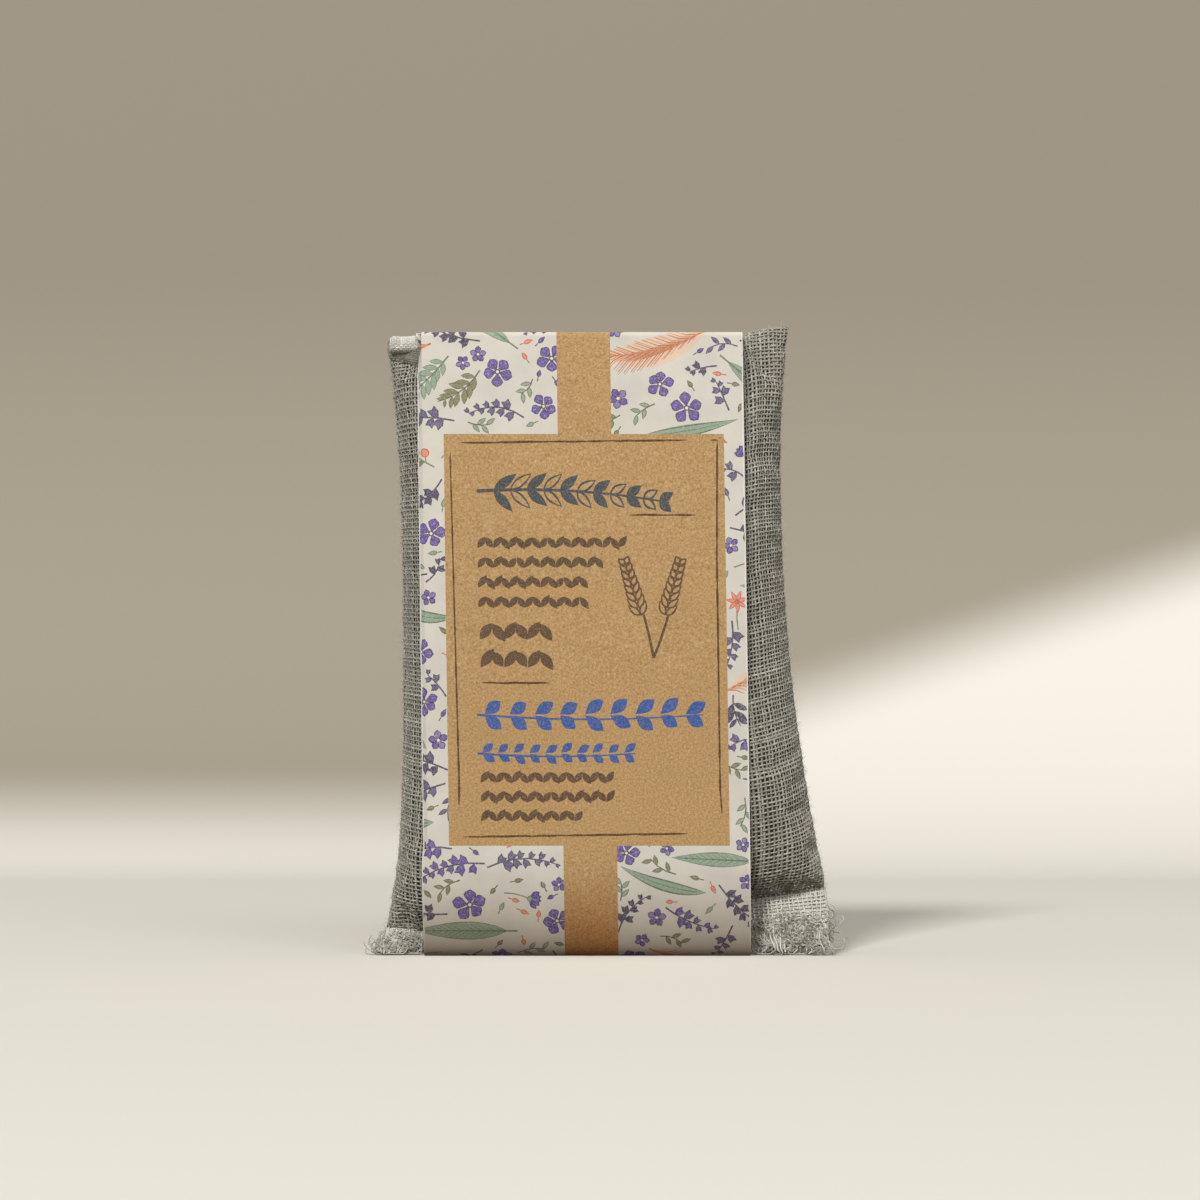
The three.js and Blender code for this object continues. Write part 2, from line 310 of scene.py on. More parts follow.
def bandHalfDepth(z):
    b = bandSizes
    belly = b["bellyDepth"] / 2
    rise = np.clip((z - b["bellyHeight"]) / (b["height"] - b["crease"] - b["bellyHeight"]), 0, 1)
    drop = np.clip((b["lowerBend"] - z) / b["lowerBend"], 0, 1)
    upper = belly - (belly - b["topDepth"] / 2) * rise ** 2
    lower = b["baseDepth"] / 2 + (belly - b["baseDepth"] / 2) * np.sqrt(1 - drop ** 2)
    return np.where(z > b["lowerBend"], upper, lower)


def cardLine(s):
    b = bandSizes
    side = []
    for i in range(s["bendSteps"]):
        turn = (i / s["bendSteps"]) ** s["bendPower"] * math.pi / 2
        z = b["lowerBend"] * (1 - math.cos(turn))
        side.append((float(bandHalfDepth(z)), z))
    top = b["height"] - b["crease"]
    count = round((top - b["lowerBend"]) / s["flatStep"])
    for i in range(count):
        z = b["lowerBend"] + (top - b["lowerBend"]) * i / count
        side.append((float(bandHalfDepth(z)), z))
    for i in range(s["creaseSteps"] + 1):
        turn = i / s["creaseSteps"] * math.pi / 2
        y = b["topDepth"] / 2 - b["crease"] * (1 - math.cos(turn))
        side.append((y, top + b["crease"] * math.sin(turn)))
    belly = b["bellyDepth"] / 2
    line = [(belly, b["lapStart"])]
    line += [p for p in side if p[1] > b["lapStart"] + 0.5]
    line += [(-y, b["height"]) for y in s["topRows"]]
    line += [(-y, z) for y, z in reversed(side)]
    line += [p for p in side if p[1] <= b["lowerBend"]]
    line.append((belly, b["joggleStart"]))
    for z in np.arange(b["joggleEnd"], b["lapEnd"] + 0.1, (b["lapEnd"] - b["joggleEnd"]) / 6):
        line.append((belly + b["stepOut"], z))
    return np.array(line)


cardYZ = cardLine(cardSettings)
cardSteps = np.linalg.norm(np.diff(cardYZ, axis=0), axis=1)
cardRows = np.concatenate([[0], np.cumsum(cardSteps)])
cardLength = cardRows[-1]
lineAlong = np.diff(cardYZ, axis=0) / cardSteps[:, None]
lineAlong = np.vstack([lineAlong[:1], lineAlong[:-1] + lineAlong[1:], lineAlong[-1:]])
lineAlong /= np.linalg.norm(lineAlong, axis=1)[:, None]
lineOut = np.stack([lineAlong[:, 1], -lineAlong[:, 0]], axis=1)
frontRows = np.flatnonzero((cardYZ[:, 0] < -bandSizes["baseDepth"] / 2 - 0.01) & (cardYZ[:, 1] > 0.01))


def frontRow(z):
    return float(np.interp(-z, -cardYZ[frontRows, 1], cardRows[frontRows]))


def cardPlace(s):  # on its line: y, z, the way out and how far the edge strip is bent back
    y, z = (np.interp(s, cardRows, cardYZ[:, k]) for k in (0, 1))
    outY, outZ = (np.interp(s, cardRows, lineOut[:, k]) for k in (0, 1))
    c = cardSettings
    angle = np.radians(c["edgeFoldAngle"]) * np.clip((z - c["edgeFoldFrom"]) / c["foldReach"], 0, 1)
    angle += np.radians(c["cornerFoldAngle"]) * np.clip((z - c["cornerFoldFrom"]) / c["foldReach"], 0, 1)
    angle *= np.clip((-y - c["foldEndDepth"]) / c["foldReach"], 0, 1)
    return y, z, outY, outZ, angle


def cardNormals(s, folded):
    _, _, outY, outZ, angle = cardPlace(s)
    angle = angle * folded
    return np.stack([-np.sin(angle), outY * np.cos(angle), outZ * np.cos(angle)], axis=-1)


def cardPoints(u, s, lift):
    y, z, outY, outZ, angle = cardPlace(s)
    past = np.maximum(0, -bandSizes["width"] / 2 + cardSettings["edgeFold"] - u)
    x = u + past * (1 - np.cos(angle))
    y = y + outY * (lift - past * np.sin(angle))
    z = z + outZ * (lift - past * np.sin(angle))
    x = x - bandSizes["lean"] * (z - bandSizes["height"] / 2)
    return np.stack([x, y, z], axis=-1)


# The print: drawn flat on the strip, u across it and s along it, as complex numbers u + i s

inks = {
    "ground": "#DAD4C7",
    "worn": "#E9E4DA",
    "violet": "#6A559F",
    "violetPale": "#8C7BB6",
    "violetLine": "#453960",
    "dusk": "#675C82",
    "slate": "#4C465C",
    "sage": "#93A68E",
    "sageLine": "#65765F",
    "olive": "#84845C",
    "oliveLine": "#5E6146",
    "coral": "#E68C70",
    "coralLine": "#C2654B",
    "wheatPale": "#E8C9AE",
    "wheat": "#D98F66",
    "wheatLine": "#B96F4A",
    "seed": "#F3E6C2",
    "kraft": "#BE9C6E",
    "rule": "#54341E",
    "umber": "#5C4636",
    "night": "#3C4A52",
    "blue": "#2F5AA0",
    "core": "#EDE8DC",
}
inkNames = list(inks)
inksOnKraft = ("rule", "umber", "night", "blue")

printSettings = {
    "seed": 15,
    "cell": 0.3,
    "gap": 0.32,
    "margin": 6,
    "underPanel": 1.5,  # how far flowers run in under the brown prints
    "underStripe": 2.5,
    "panelLeft": -26.2,
    "panelRight": 27.6,
    "panelTop": 100.5,
    "panelBottom": 21.5,
    "stripeLeft": -4.3,
    "stripeRight": 6.0,
    "ruleWidth": 0.42,
    "wobble": 0.035,
    "wearStep": 1.7,
    "wearDepth": (0.12, 0.42),
    "rowsLeft": -20.5,
}

seedRows = (  # height, length and the size of a seed
    (79.6, 29, 2.5),
    (75.8, 24, 2.5),
    (72, 21, 2.5),
    (68.2, 21, 2.5),
    (62.6, 13, 3.8),
    (57.2, 13, 3.8),
    (34.6, 26, 2.5),
    (30.9, 26, 2.5),
    (27.2, 20, 2.5),
)


def turned(points, angle, at=0):
    return at + points * np.exp(1j * angle)


def leafShape(length, width, count=5, belly=0.45):
    t = np.linspace(0, 1, count + 2)[1:-1]
    half = width / 2 * np.sin(np.pi * t ** (math.log(0.5) / math.log(belly)))
    return np.concatenate([[0], length * t - 1j * half, [length], (length * t + 1j * half)[::-1]])


def roundShape(radius, count=9, at=0):
    return at + radius * np.exp(2j * np.pi * np.arange(count) / count)


def shrunk(shape, line):
    middle = shape.mean()
    size = np.abs(shape - middle)
    return middle + (shape - middle) * np.clip(1 - line / np.maximum(size, 0.01), 0.15, 1)


def ribbon(line, half):
    along = np.gradient(line)
    across = 1j * along / np.abs(along)
    return np.concatenate([line - across * half, (line + across * half)[::-1]])


def stroke(points, start, end):
    return ribbon(np.asarray(points, complex), np.linspace(start, end, len(points)) / 2)


def box(left, right, top, bottom):
    return np.array([left + 1j * top, right + 1j * top, right + 1j * bottom, left + 1j * bottom])


def bow(length, bend, count=9):
    t = np.linspace(0, 1, count)
    return length * t + 1j * bend * length * 4 * t * (1 - t)


def onStem(stem, share):
    place = np.linspace(0, 1, len(stem))
    return np.interp(share, place, stem.real) + 1j * np.interp(share, place, stem.imag)


def inked(shape, fill, line, width=0.24):
    return [(line, shape), (fill, shrunk(shape, width))]


def placed(parts, angle, at=0):
    return [(ink, turned(shape, angle, at)) for ink, shape in parts]


def blossom(rng):
    size = rng.uniform(2.5, 3.4)
    count = 5 + rng.integers(2)
    parts = []
    for k in range(count):
        petal = leafShape(size * rng.uniform(0.9, 1.1), size * 3.9 / count, 5, 0.66)
        drawn = inked(petal, "violet", "violetLine", 0.2)
        drawn.append(("violetLine", stroke([size * 0.25, size * 0.6], 0.2, 0.08)))
        drawn.append(("violetPale", stroke([size * 0.62, size * 0.86], 0.3, 0.12)))
        parts += placed(drawn, k * 2 * math.pi / count + rng.uniform(-0.12, 0.12))
    parts.append(("violetLine", roundShape(size * 0.2, 7)))
    parts.append(("seed", roundShape(size * 0.11, 6)))
    return parts


def cupBlossom(rng):
    size = rng.uniform(2.4, 3.4)
    stem = bow(size * 1.9, rng.uniform(-0.12, 0.12), 5) - size * 1.9
    parts = [("olive", stroke(stem, 0.28, 0.22))]
    for angle in (-0.75, 0.75, -0.36, 0.36, 0):
        parts += placed(inked(leafShape(size, size * 0.5, 4, 0.6), "violet", "violetLine"), angle)
        parts.append(("violetPale", turned(stroke([size * 0.35, size * 0.75], 0.18, 0.08), angle)))
    parts += placed(inked(leafShape(size * 0.5, size * 0.5, 3), "sage", "sageLine", 0.18), 0, -size * 0.15)
    return parts


def smallBlossom(rng):
    size = rng.uniform(1.5, 2.3)
    parts = []
    for k in range(5):
        fill = "violetPale" if k % 2 else "violet"
        petal = inked(leafShape(size, size * 0.76, 3, 0.6), fill, "violetLine", 0.18)
        parts += placed(petal, k * math.pi / 2.5 + rng.uniform(-0.12, 0.12))
    parts.append(("seed", roundShape(size * 0.16, 5)))
    return parts


def bellSpray(rng, low=10, high=19):
    length = rng.uniform(low, high)
    stem = bow(length, rng.uniform(-0.16, 0.16), 6)
    parts = [("slate", stroke(stem, 0.34, 0.2))]
    count = int(length / 0.95)
    dusk = ("dusk", "violet", "slate")[rng.integers(3)]
    for k in range(2, count + 1):
        share = k / count
        side = 1 if k % 2 else -1
        size = rng.uniform(2.1, 2.7) * (1.1 - share * 0.6)
        bell = size * np.array([0, 0.4 - 0.34j, 0.95 - 0.34j, 0.8, 0.95 + 0.34j, 0.4 + 0.34j])
        drawn = [("slate", bell)] if dusk == "slate" else inked(bell, dusk, "slate", 0.22)
        parts += placed(drawn, side * rng.uniform(0.6, 1.1), onStem(stem, min(share, 1)))
    return parts


def shortSpray(rng):
    return bellSpray(rng, 5, 9)


def fernFrond(rng, low=10, high=18):
    length = rng.uniform(low, high)
    stem = bow(length, rng.uniform(-0.16, 0.16), 6)
    pairs = (("sage", "sageLine"), ("olive", "oliveLine"), ("olive", "oliveLine"), ("slate", "slate"))
    leaf, line = pairs[rng.integers(4)]
    parts = [(line, stroke(stem, 0.32, 0.18))]
    count = int(length / 1.45)
    for k in range(1, count):
        share = k / count
        size = 3.3 * math.sin(math.pi * (0.2 + 0.78 * share)) ** 0.7
        for side in (1, -1):
            shape = leafShape(size, size * 0.4, 3, 0.5)
            drawn = [(line, shape)] if leaf == line else inked(shape, leaf, line, 0.14)
            parts += placed(drawn, side * rng.uniform(0.6, 0.95), onStem(stem, share))
    return parts


def shortFrond(rng):
    return fernFrond(rng, 5, 9)


def broadLeaf(rng):
    length = rng.uniform(12, 20)
    width = length * rng.uniform(0.17, 0.22)
    parts = inked(leafShape(length, width, 7, 0.42), "sage", "sageLine", 0.24)
    parts.append(("sageLine", stroke([-1.8, length * 0.5, length * 0.93], 0.34, 0.12)))
    count = int(length / 1.3)
    for k in range(1, count):
        at = length * k / (count + 0.6)
        reach = width * 0.42 * math.sin(math.pi * (at / length) ** 0.8)
        for side in (1, -1):
            parts.append(("sageLine", stroke([at, at + reach * (1.5 + 0.9j * side)], 0.14, 0.06)))
    return parts


def willowLeaf(rng):
    length = rng.uniform(10, 20)
    bend = rng.uniform(-0.16, 0.16)
    middle = bow(length, bend, 11)
    half = 1.1 * np.sin(np.pi * np.linspace(0, 1, 11) ** 0.8) + 0.06
    parts = [("sageLine", ribbon(middle, half)), ("sage", ribbon(middle, half * 0.72))]
    return parts + [("sageLine", stroke(middle[1:-2], 0.2, 0.1))]


def featherGrass(rng):
    length = rng.uniform(17, 26)
    stem = bow(length, rng.choice([-0.09, 0.09]), 9)
    half = 2.8 * np.sin(math.pi * np.linspace(0, 1, 9) ** 1.15) ** 0.8 + 0.05
    parts = [("wheatPale", ribbon(stem, half)[1:])]
    parts.append(("wheatLine", stroke(stem, 0.34, 0.14)))
    count = int(length / 0.78)
    for k in range(int(count * 0.06), count):
        share = k / count
        size = 6.4 * math.sin(math.pi * min(1, (share + 0.02) * 0.98)) ** 0.5 + 0.5
        for side in (1, -1):
            hair = bow(size * rng.uniform(0.8, 1.1), -side * 0.1, 3)
            ink = "wheat" if (k + (side > 0)) % 2 else "wheatLine"
            parts.append((ink, turned(stroke(hair, 0.3, 0.12), side * 0.42, onStem(stem, share))))
    return parts


def berrySprig(rng):
    length = rng.uniform(7, 12)
    stem = bow(length, rng.uniform(-0.12, 0.12), 5)
    parts = [("olive", stroke(stem, 0.32, 0.22))]
    for k in range(1, 5):
        side = 1 if k % 2 else -1
        at = onStem(stem, k / 4.6)
        tip = at + rng.uniform(1.8, 3.0) * np.exp(1j * side * rng.uniform(0.6, 0.9))
        parts.append(("olive", stroke([at, tip], 0.24, 0.2)))
        parts += inked(roundShape(rng.uniform(0.7, 1.0), 8, tip), "coral", "coralLine", 0.22)
        parts += placed(inked(leafShape(2.6, 1.15, 3), "olive", "oliveLine", 0.18), -side * 0.8, at + 0.3)
    parts += inked(roundShape(0.95, 8, length), "coral", "coralLine", 0.22)
    return parts


def starBloom(rng):
    size = rng.uniform(1.9, 2.7)
    parts = [("olive", stroke([0, -0.4 - 1j * size * 1.5, -0.9 - 1j * size * 2.4], 0.28, 0.24))]
    for k in range(7):
        parts += placed(inked(leafShape(size, size * 0.4, 3), "coral", "coralLine", 0.18), k * math.pi / 3.5)
    parts.append(("coralLine", roundShape(size * 0.24, 7)))
    return parts


def umbel(rng):
    parts = [("olive", stroke([-5, -2.5 + 0.3j, 0], 0.3, 0.24))]
    ink = ("violetPale", "wheat")[rng.integers(2)]
    for k in range(7):
        angle = (k - 3) * 0.3
        reach = rng.uniform(2.6, 3.4)
        parts.append(("olive", stroke([0, reach * np.exp(1j * angle)], 0.17, 0.14)))
        parts += inked(roundShape(0.56, 7, (reach + 0.4) * np.exp(1j * angle)), ink, "slate", 0.18)
    return parts


def twig(rng):
    length = rng.uniform(3.6, 6)
    stem = bow(length, rng.uniform(-0.15, 0.15), 4)
    pairs = (("sage", "oliveLine"), ("olive", "oliveLine"), ("olive", "oliveLine"), ("dusk", "slate"))
    leaf, line = pairs[rng.integers(4)]
    parts = [(line, stroke(stem, 0.26, 0.2))]
    for k in range(1, 5):
        side = 1 if k % 2 else -1
        parts += placed(inked(leafShape(2.2, 0.95, 3), leaf, line, 0.16), side * 0.75, onStem(stem, k / 4.4))
    return parts


def bud(rng):
    pairs = (("violet", "slate"), ("olive", "oliveLine"), ("sage", "sageLine"), ("coral", "coralLine"))
    fill, line = pairs[rng.integers(4)]
    parts = inked(leafShape(rng.uniform(1.5, 2.2), 0.95, 4, 0.4), fill, line, 0.2)
    parts.append((line, stroke([-0.8, 0], 0.22, 0.2)))
    return parts


# What is tried, how often, and how far its stem may turn from lying across the band
motifPlan = [
    (featherGrass, 70, 0.6),
    (broadLeaf, 22, 0.8),
    (blossom, 90, 3),
    (bellSpray, 700, 0.7),
    (berrySprig, 90, 1.2),
    (willowLeaf, 260, 0.8),
    (twig, 120, 3),
    (blossom, 400, 3),
    (fernFrond, 700, 0.8),
    (bellSpray, 1500, 0.9),
    (cupBlossom, 250, 1.5),
    (starBloom, 160, 3),
    (shortSpray, 3500, 3),
    (berrySprig, 300, 1.2),
    (umbel, 160, 1.5),
    (smallBlossom, 900, 3),
    (shortFrond, 3500, 3),
    (twig, 6000, 3),
    (bud, 3000, 3),
]


def drawFlowers(s):
    rng = np.random.default_rng(s["seed"])
    half = bandSizes["width"] / 2
    margin = s["margin"]
    shape = tuple(int((long + 2 * margin) / s["cell"]) + 1 for long in (2 * half, cardLength))
    taken = np.zeros(shape, bool)
    reach = int(s["gap"] / s["cell"])
    steps = range(-reach, reach + 1)
    disk = np.array([(i, j) for i in steps for j in steps if i * i + j * j <= reach ** 2 + 1])

    def cells(points):  # the squares of the sheet that these points lie in
        i = ((points.real + half + margin) / s["cell"]).astype(int)
        j = ((points.imag + margin) / s["cell"]).astype(int)
        inside = (i >= 0) & (j >= 0) & (i < shape[0]) & (j < shape[1])
        return i[inside], j[inside]

    top, bottom = frontRow(s["panelTop"]), frontRow(s["panelBottom"])
    inset = s["underPanel"]
    i, j = cells(box(s["panelLeft"] + inset, s["panelRight"] - inset, top + inset, bottom - inset))
    taken[i[0]:i[2], j[0]:j[2]] = True
    inset = s["underStripe"]
    i, j = cells(np.array([s["stripeLeft"] + inset, s["stripeRight"] - inset]) + 1j)
    taken[i[0]:i[1]] = True
    parts = []
    for motif, tries, spread in motifPlan:
        for _ in range(tries):
            at = rng.uniform(-half - 3, half + 3) + 1j * rng.uniform(-2, cardLength + 2)
            angle = rng.uniform(-spread, spread) + (math.pi if rng.random() < 0.5 else 0)
            drawn = placed(motif(rng), angle, at)
            outline = [part for _, part in drawn] + [(part + np.roll(part, -1)) / 2 for _, part in drawn]
            i, j = cells(np.concatenate(outline))
            if not len(i) or taken[i, j].any():
                continue
            near = (np.stack([i, j], 1)[:, None] + disk[None]).reshape(-1, 2)
            near = near[(near >= 0).all(1) & (near < shape).all(1)]
            taken[near[:, 0], near[:, 1]] = True
            parts += drawn

    def hidden(p):  # under the brown stripe or panel
        inStripe = (p.real > s["stripeLeft"]) & (p.real < s["stripeRight"])
        inPanel = (p.real > s["panelLeft"]) & (p.real < s["panelRight"]) & (p.imag > top) & (p.imag < bottom)
        return inStripe.all() or inPanel.all()

    return [(ink, shape) for ink, shape in parts if not hidden(shape)]


def sketchLine(rng, points, width):
    line = []
    for a, b in zip(points[:-1], points[1:]):
        count = max(2, int(abs(b - a) / 1.6))
        line += [a + (b - a) * k / count for k in range(count)]
    line = np.array(line + [points[-1]])
    stray = rng.normal(0, printSettings["wobble"], len(line))
    line = line + 1j * stray * np.sign(np.gradient(line).real + 1e-9)
    half = width / 2 * rng.uniform(0.55, 1.15, len(line))
    half[0] = half[-1] = width * 0.15
    return ribbon(line, half)


def drawLabel(s):
    rng = np.random.default_rng(s["seed"] + 1)
    stripe = box(s["stripeLeft"], s["stripeRight"], -1, cardLength + 1)
    panel = box(s["panelLeft"], s["panelRight"], frontRow(s["panelTop"]), frontRow(s["panelBottom"]))
    parts = [("kraft", stripe), ("kraft", panel)]
    rules = [
        [(-22.9, 98.8), (20.5, 99.3)],
        [(25.0, 99.3), (26.5, 99.3)],
        [(26.3, 99.2), (25.9, 76.5), (25.9, 32.4), (26.2, 27.6)],
        [(-25.0, 96.8), (-24.7, 76.5), (-24.1, 33.4), (-24.2, 29.3)],
        [(-23.3, 23.2), (19.4, 23.8)],
        [(9.2, 84.9), (22.0, 84.9)],
        [(-19.5, 52.7), (-6.4, 52.7)],
    ]
    for rule in rules:
        points = [u + 1j * frontRow(z) for u, z in rule]
        parts.append(("rule", sketchLine(rng, points, s["ruleWidth"])))
    return parts + drawOrnaments(rng)


def garland(rng, pairs, size, ink):
    length = pairs * size * 1.12
    parts = [(ink, stroke(bow(length, 0.02, 7), 0.42, 0.24))]
    for k in range(pairs):
        for side in (-1, 1):
            leaf = leafShape(size * rng.uniform(0.9, 1.1), size * 0.56, 7, 0.55)
            at = size * 1.12 * (k + 0.3) + 0.1j * side
            parts += placed([(ink, leaf)], side * rng.uniform(0.5, 0.75), at)
    return parts


def seedRow(rng, length, size):
    parts = []
    for k in range(round(length / size / 0.6)):
        seed = leafShape(size * rng.uniform(0.95, 1.2), size * 0.54, 4, 0.5) - size / 2
        parts.append(("umber", turned(seed, 0.95 if k % 2 else -0.95, size * (0.6 * k + 0.5))))
    return parts


def drawOrnaments(rng):
    parts = []
    stem = bow(37, -0.03, 19)
    sprig = [("night", stroke(stem, 0.7, 0.34))]
    for k in range(1, 12):
        leaf = leafShape(5.8 - 0.24 * k, 1.9, 7)
        for side in (-1, 1):
            drawn = [("night", leaf)] if k % 2 else inked(leaf, "kraft", "night", 0.45)
            sprig += placed(drawn, side * rng.uniform(0.55, 0.8), onStem(stem, k / 11.6))
    parts += placed(sprig, 0.06, -20 + 1j * frontRow(89.5))
    stalk = [("umber", stroke(bow(19, 0.03, 9), 0.55, 0.35))]
    for k in range(1, 9):
        for side in (-1, 1):
            seed = inked(leafShape(3.3 - 0.18 * k, 1.5, 5), "kraft", "umber", 0.4)
            stalk += placed(seed, side * 0.62, 7 + 1.45 * k)
    for tilt in (-1, 1):
        parts += placed(stalk, -math.pi / 2 + tilt * 0.28, 13.5 + 1j * frontRow(57.5))
    left = printSettings["rowsLeft"]
    for pairs, size, height in ((9, 4.3, 46.6), (10, 2.7, 39.2)):
        parts += placed(garland(rng, pairs, size, "blue"), 0, left + 1j * frontRow(height))
    for height, length, size in seedRows:
        parts += placed(seedRow(rng, length, size), 0, left + 1j * frontRow(height))
    return parts


def drawWear():
    rng = np.random.default_rng(printSettings["seed"] + 2)
    half = bandSizes["width"] / 2
    s = np.arange(-1, cardLength + 1.5, printSettings["wearStep"])
    parts = []
    for side in (-1, 1):
        edge = side * (half - rng.uniform(*printSettings["wearDepth"], len(s))) + 1j * s
        parts.append(("worn", np.concatenate([edge, side * (half + 1) + 1j * s[[-1, 0]]])))
    return parts


def layPrint():
    half = bandSizes["width"] / 2
    shapes = [("ground", box(-half, half, 0, cardLength))]
    shapes += drawFlowers(printSettings) + drawLabel(printSettings) + drawWear()
    points, faces, edges = [], [], []
    for _, shape in shapes:
        area = (shape.real * np.roll(shape.imag, -1) - shape.imag * np.roll(shape.real, -1)).sum()
        shape = shape if area > 0 else shape[::-1]
        faces.append(list(range(len(points), len(points) + len(shape))))
        points += [Vector((p.real, p.imag)) for p in shape]
    for row in cardRows[1:-1]:
        edges.append((len(points), len(points) + 1))
        points += [Vector((-half, row)), Vector((half, row))]
    fold = cardSettings["edgeFold"] - half
    edges.append((len(points), len(points) + 1))
    points += [Vector((fold, 0)), Vector((fold, cardLength))]
    result = geometry.delaunay_2d_cdt(points, edges, faces, 1, 1e-4)
    flat = np.array([(p.x, p.y) for p in result[0]])
    kept = [(face, max(origin)) for face, origin in zip(result[2], result[5]) if 0 in origin]
    print(len(shapes), "printed shapes,", len(kept), "faces")
    used, faces = np.unique(np.array([face for face, _ in kept]), return_inverse=True)
    return flat[used], faces.reshape(-1, 3), [shapes[k][0] for _, k in kept]


def footShaded(tree, place, colour, hexCode):  # painted shade: darker towards the foot
    height = addNode(tree, "SeparateXYZ", {0: place}).outputs["Z"]
    reach = {"From Max": cardSettings["footShadeHeight"] * mm}
    share = addNode(tree, "MapRange", {"Value": height}, reach, interpolation_type="SMOOTHSTEP")
    tone = addNode(tree, "ValToRGB", {0: share.outputs[0]})
    setRamp(tone, (0, hexCode), (1, "#FFFFFF"))
    return addNode(tree, "VectorMath", {0: colour, 1: tone.outputs[0]}, operation="MULTIPLY").outputs[0]


def addCardMaterial():
    surface = {"Roughness": 0.78, "Specular IOR Level": 0.35}
    material, tree, shader, place = newMaterial("uncoated card, offset printed", surface)
    ink = addNode(tree, "Attribute", attribute_name="ink").outputs
    fine = {"Scale": perMillimetre(0.3), "Detail": 4, "Roughness": 0.7}
    grain = addNode(tree, "TexNoise", {"Vector": place}, fine)
    gaps = {"From Min": 0.46, "From Max": 0.68, "To Max": 0.4}  # where the ink lets the paper through
    bare = addNode(tree, "MapRange", {"Value": grain.outputs[0]}, gaps)
    papers = {6: linear(inks["kraft"]), 7: linear(inks["ground"])}
    under = addNode(tree, "Mix", {0: ink["Alpha"]}, papers, data_type="RGBA")
    drawn = addNode(tree, "Mix", {0: bare.outputs[0], 6: ink["Color"], 7: under.outputs[2]}, data_type="RGBA")
    cloud = addNode(tree, "TexNoise", {"Vector": place}, {"Scale": perMillimetre(6), "Detail": 3})
    span = {"From Min": 0.3, "From Max": 0.7, "To Min": 0.93, "To Max": 1.04}
    tone = addNode(tree, "MapRange", {"Value": cloud.outputs[0]}, span)
    mixed = addNode(tree, "VectorMath", {0: drawn.outputs[2], 1: tone.outputs[0]}, operation="MULTIPLY")
    # painted shade: the card's print darker towards the foot
    colour = footShaded(tree, place, mixed.outputs[0], cardSettings["footShadeOnCard"])
    tree.links.new(colour, shader.inputs["Base Color"])
    fibre = addNode(tree, "TexNoise", {"Vector": place}, {"Scale": perMillimetre(0.3), "Detail": 4})
    bump = addNode(tree, "Bump", {"Height": fibre.outputs[0]}, {"Strength": 0.25, "Distance": 0.05 * mm})
    tree.links.new(bump.outputs[0], shader.inputs["Normal"])
    return material


def addKraftMaterial():
    surface = {"Roughness": 0.82, "Specular IOR Level": 0.3}
    material, tree, shader, place = newMaterial("kraft brown print on card", surface)
    fine = {"Scale": perMillimetre(0.42), "Detail": 5, "Roughness": 0.75}
    fleck = addNode(tree, "TexNoise", {"Vector": place}, fine)
    colour = addNode(tree, "ValToRGB", {0: fleck.outputs[0]})
    setRamp(colour, (0.3, "#94693C"), (0.47, "#B8925F"), (0.58, "#C4A172"), (0.74, "#DCC39A"))
    cloud = addNode(tree, "TexNoise", {"Vector": place}, {"Scale": perMillimetre(9), "Detail": 2})
    tone = addNode(tree, "MapRange", {"Value": cloud.outputs[0]}, {"To Min": 0.93, "To Max": 1.07})
    mixed = addNode(tree, "VectorMath", {0: colour.outputs[0], 1: tone.outputs[0]}, operation="MULTIPLY")
    # painted shade: the kraft print darker and browner towards the foot
    colour = footShaded(tree, place, mixed.outputs[0], cardSettings["footShadeOnKraft"])
    tree.links.new(colour, shader.inputs["Base Color"])
    bump = addNode(tree, "Bump", {"Height": fleck.outputs[0]}, {"Strength": 0.3, "Distance": 0.06 * mm})
    tree.links.new(bump.outputs[0], shader.inputs["Normal"])
    return material


def addCoreMaterial():
    material, tree, shader, place = newMaterial("bare card, die cut", {"Roughness": 0.9})
    fibre = addNode(tree, "TexNoise", {"Vector": place}, {"Scale": perMillimetre(0.35), "Detail": 3})
    colour = addNode(tree, "ValToRGB", {0: fibre.outputs[0]})
    setRamp(colour, (0.35, "#D9D2C3"), (0.65, inks["core"]))
    tree.links.new(colour.outputs[0], shader.inputs["Base Color"])
    return material


def rimLoop(flat, near):  # the points on the strip's rim, in order round it
    half = bandSizes["width"] / 2
    u, s = flat[:, 0], flat[:, 1]
    rim = np.flatnonzero((np.abs(np.abs(u) - half) < near) | (s < near) | (s > cardLength - near))
    loop = []
    for across, edge, along in ((s, 0, u), (u, half, s), (s, cardLength, -u), (u, -half, -s)):
        side = rim[np.isclose(across[rim], edge, atol=near)]
        loop += list(side[np.argsort(along[side])])[:-1]
    return loop


def closedStrip(flat, faces):  # the printed side, the inner side a card's thickness below it, and the rim
    half, near = bandSizes["width"] / 2, 1e-5
    loop = rimLoop(flat, near)
    count, around = len(loop), flat[loop]
    edges = [(k, (k + 1) % count) for k in range(count)]
    for row in cardRows[1:-1]:
        away = np.abs(around[:, 1] - row)
        ends = [np.argmin(away + 1000 * (np.abs(around[:, 0] - end) > 1e-4)) for end in (-half, half)]
        edges.append([int(end) for end in ends])
    points = [Vector(p) for p in around]
    result = geometry.delaunay_2d_cdt(points, edges, [list(range(count))], 1, near)
    inner = np.array([(p.x, p.y) for p in result[0]])
    outer = cardPoints(flat[:, 0], flat[:, 1], 0)
    place = np.concatenate([outer, cardPoints(inner[:, 0], inner[:, 1], -bandSizes["card"])])
    offset = len(flat)
    under = {k: offset + i for i, origins in enumerate(result[3]) for k in origins}
    innerFaces = np.array([[offset + a for a in reversed(face)] for face in result[2]])
    rimFaces = []
    for k in range(count):
        a, b = loop[k], loop[(k + 1) % count]
        c, d = under[(k + 1) % count], under[k]
        rimFaces += [(b, a, d), (b, d, c)]
    return place, np.concatenate([faces, innerFaces, np.array(rimFaces)])[:, ::-1]  # turned to face out


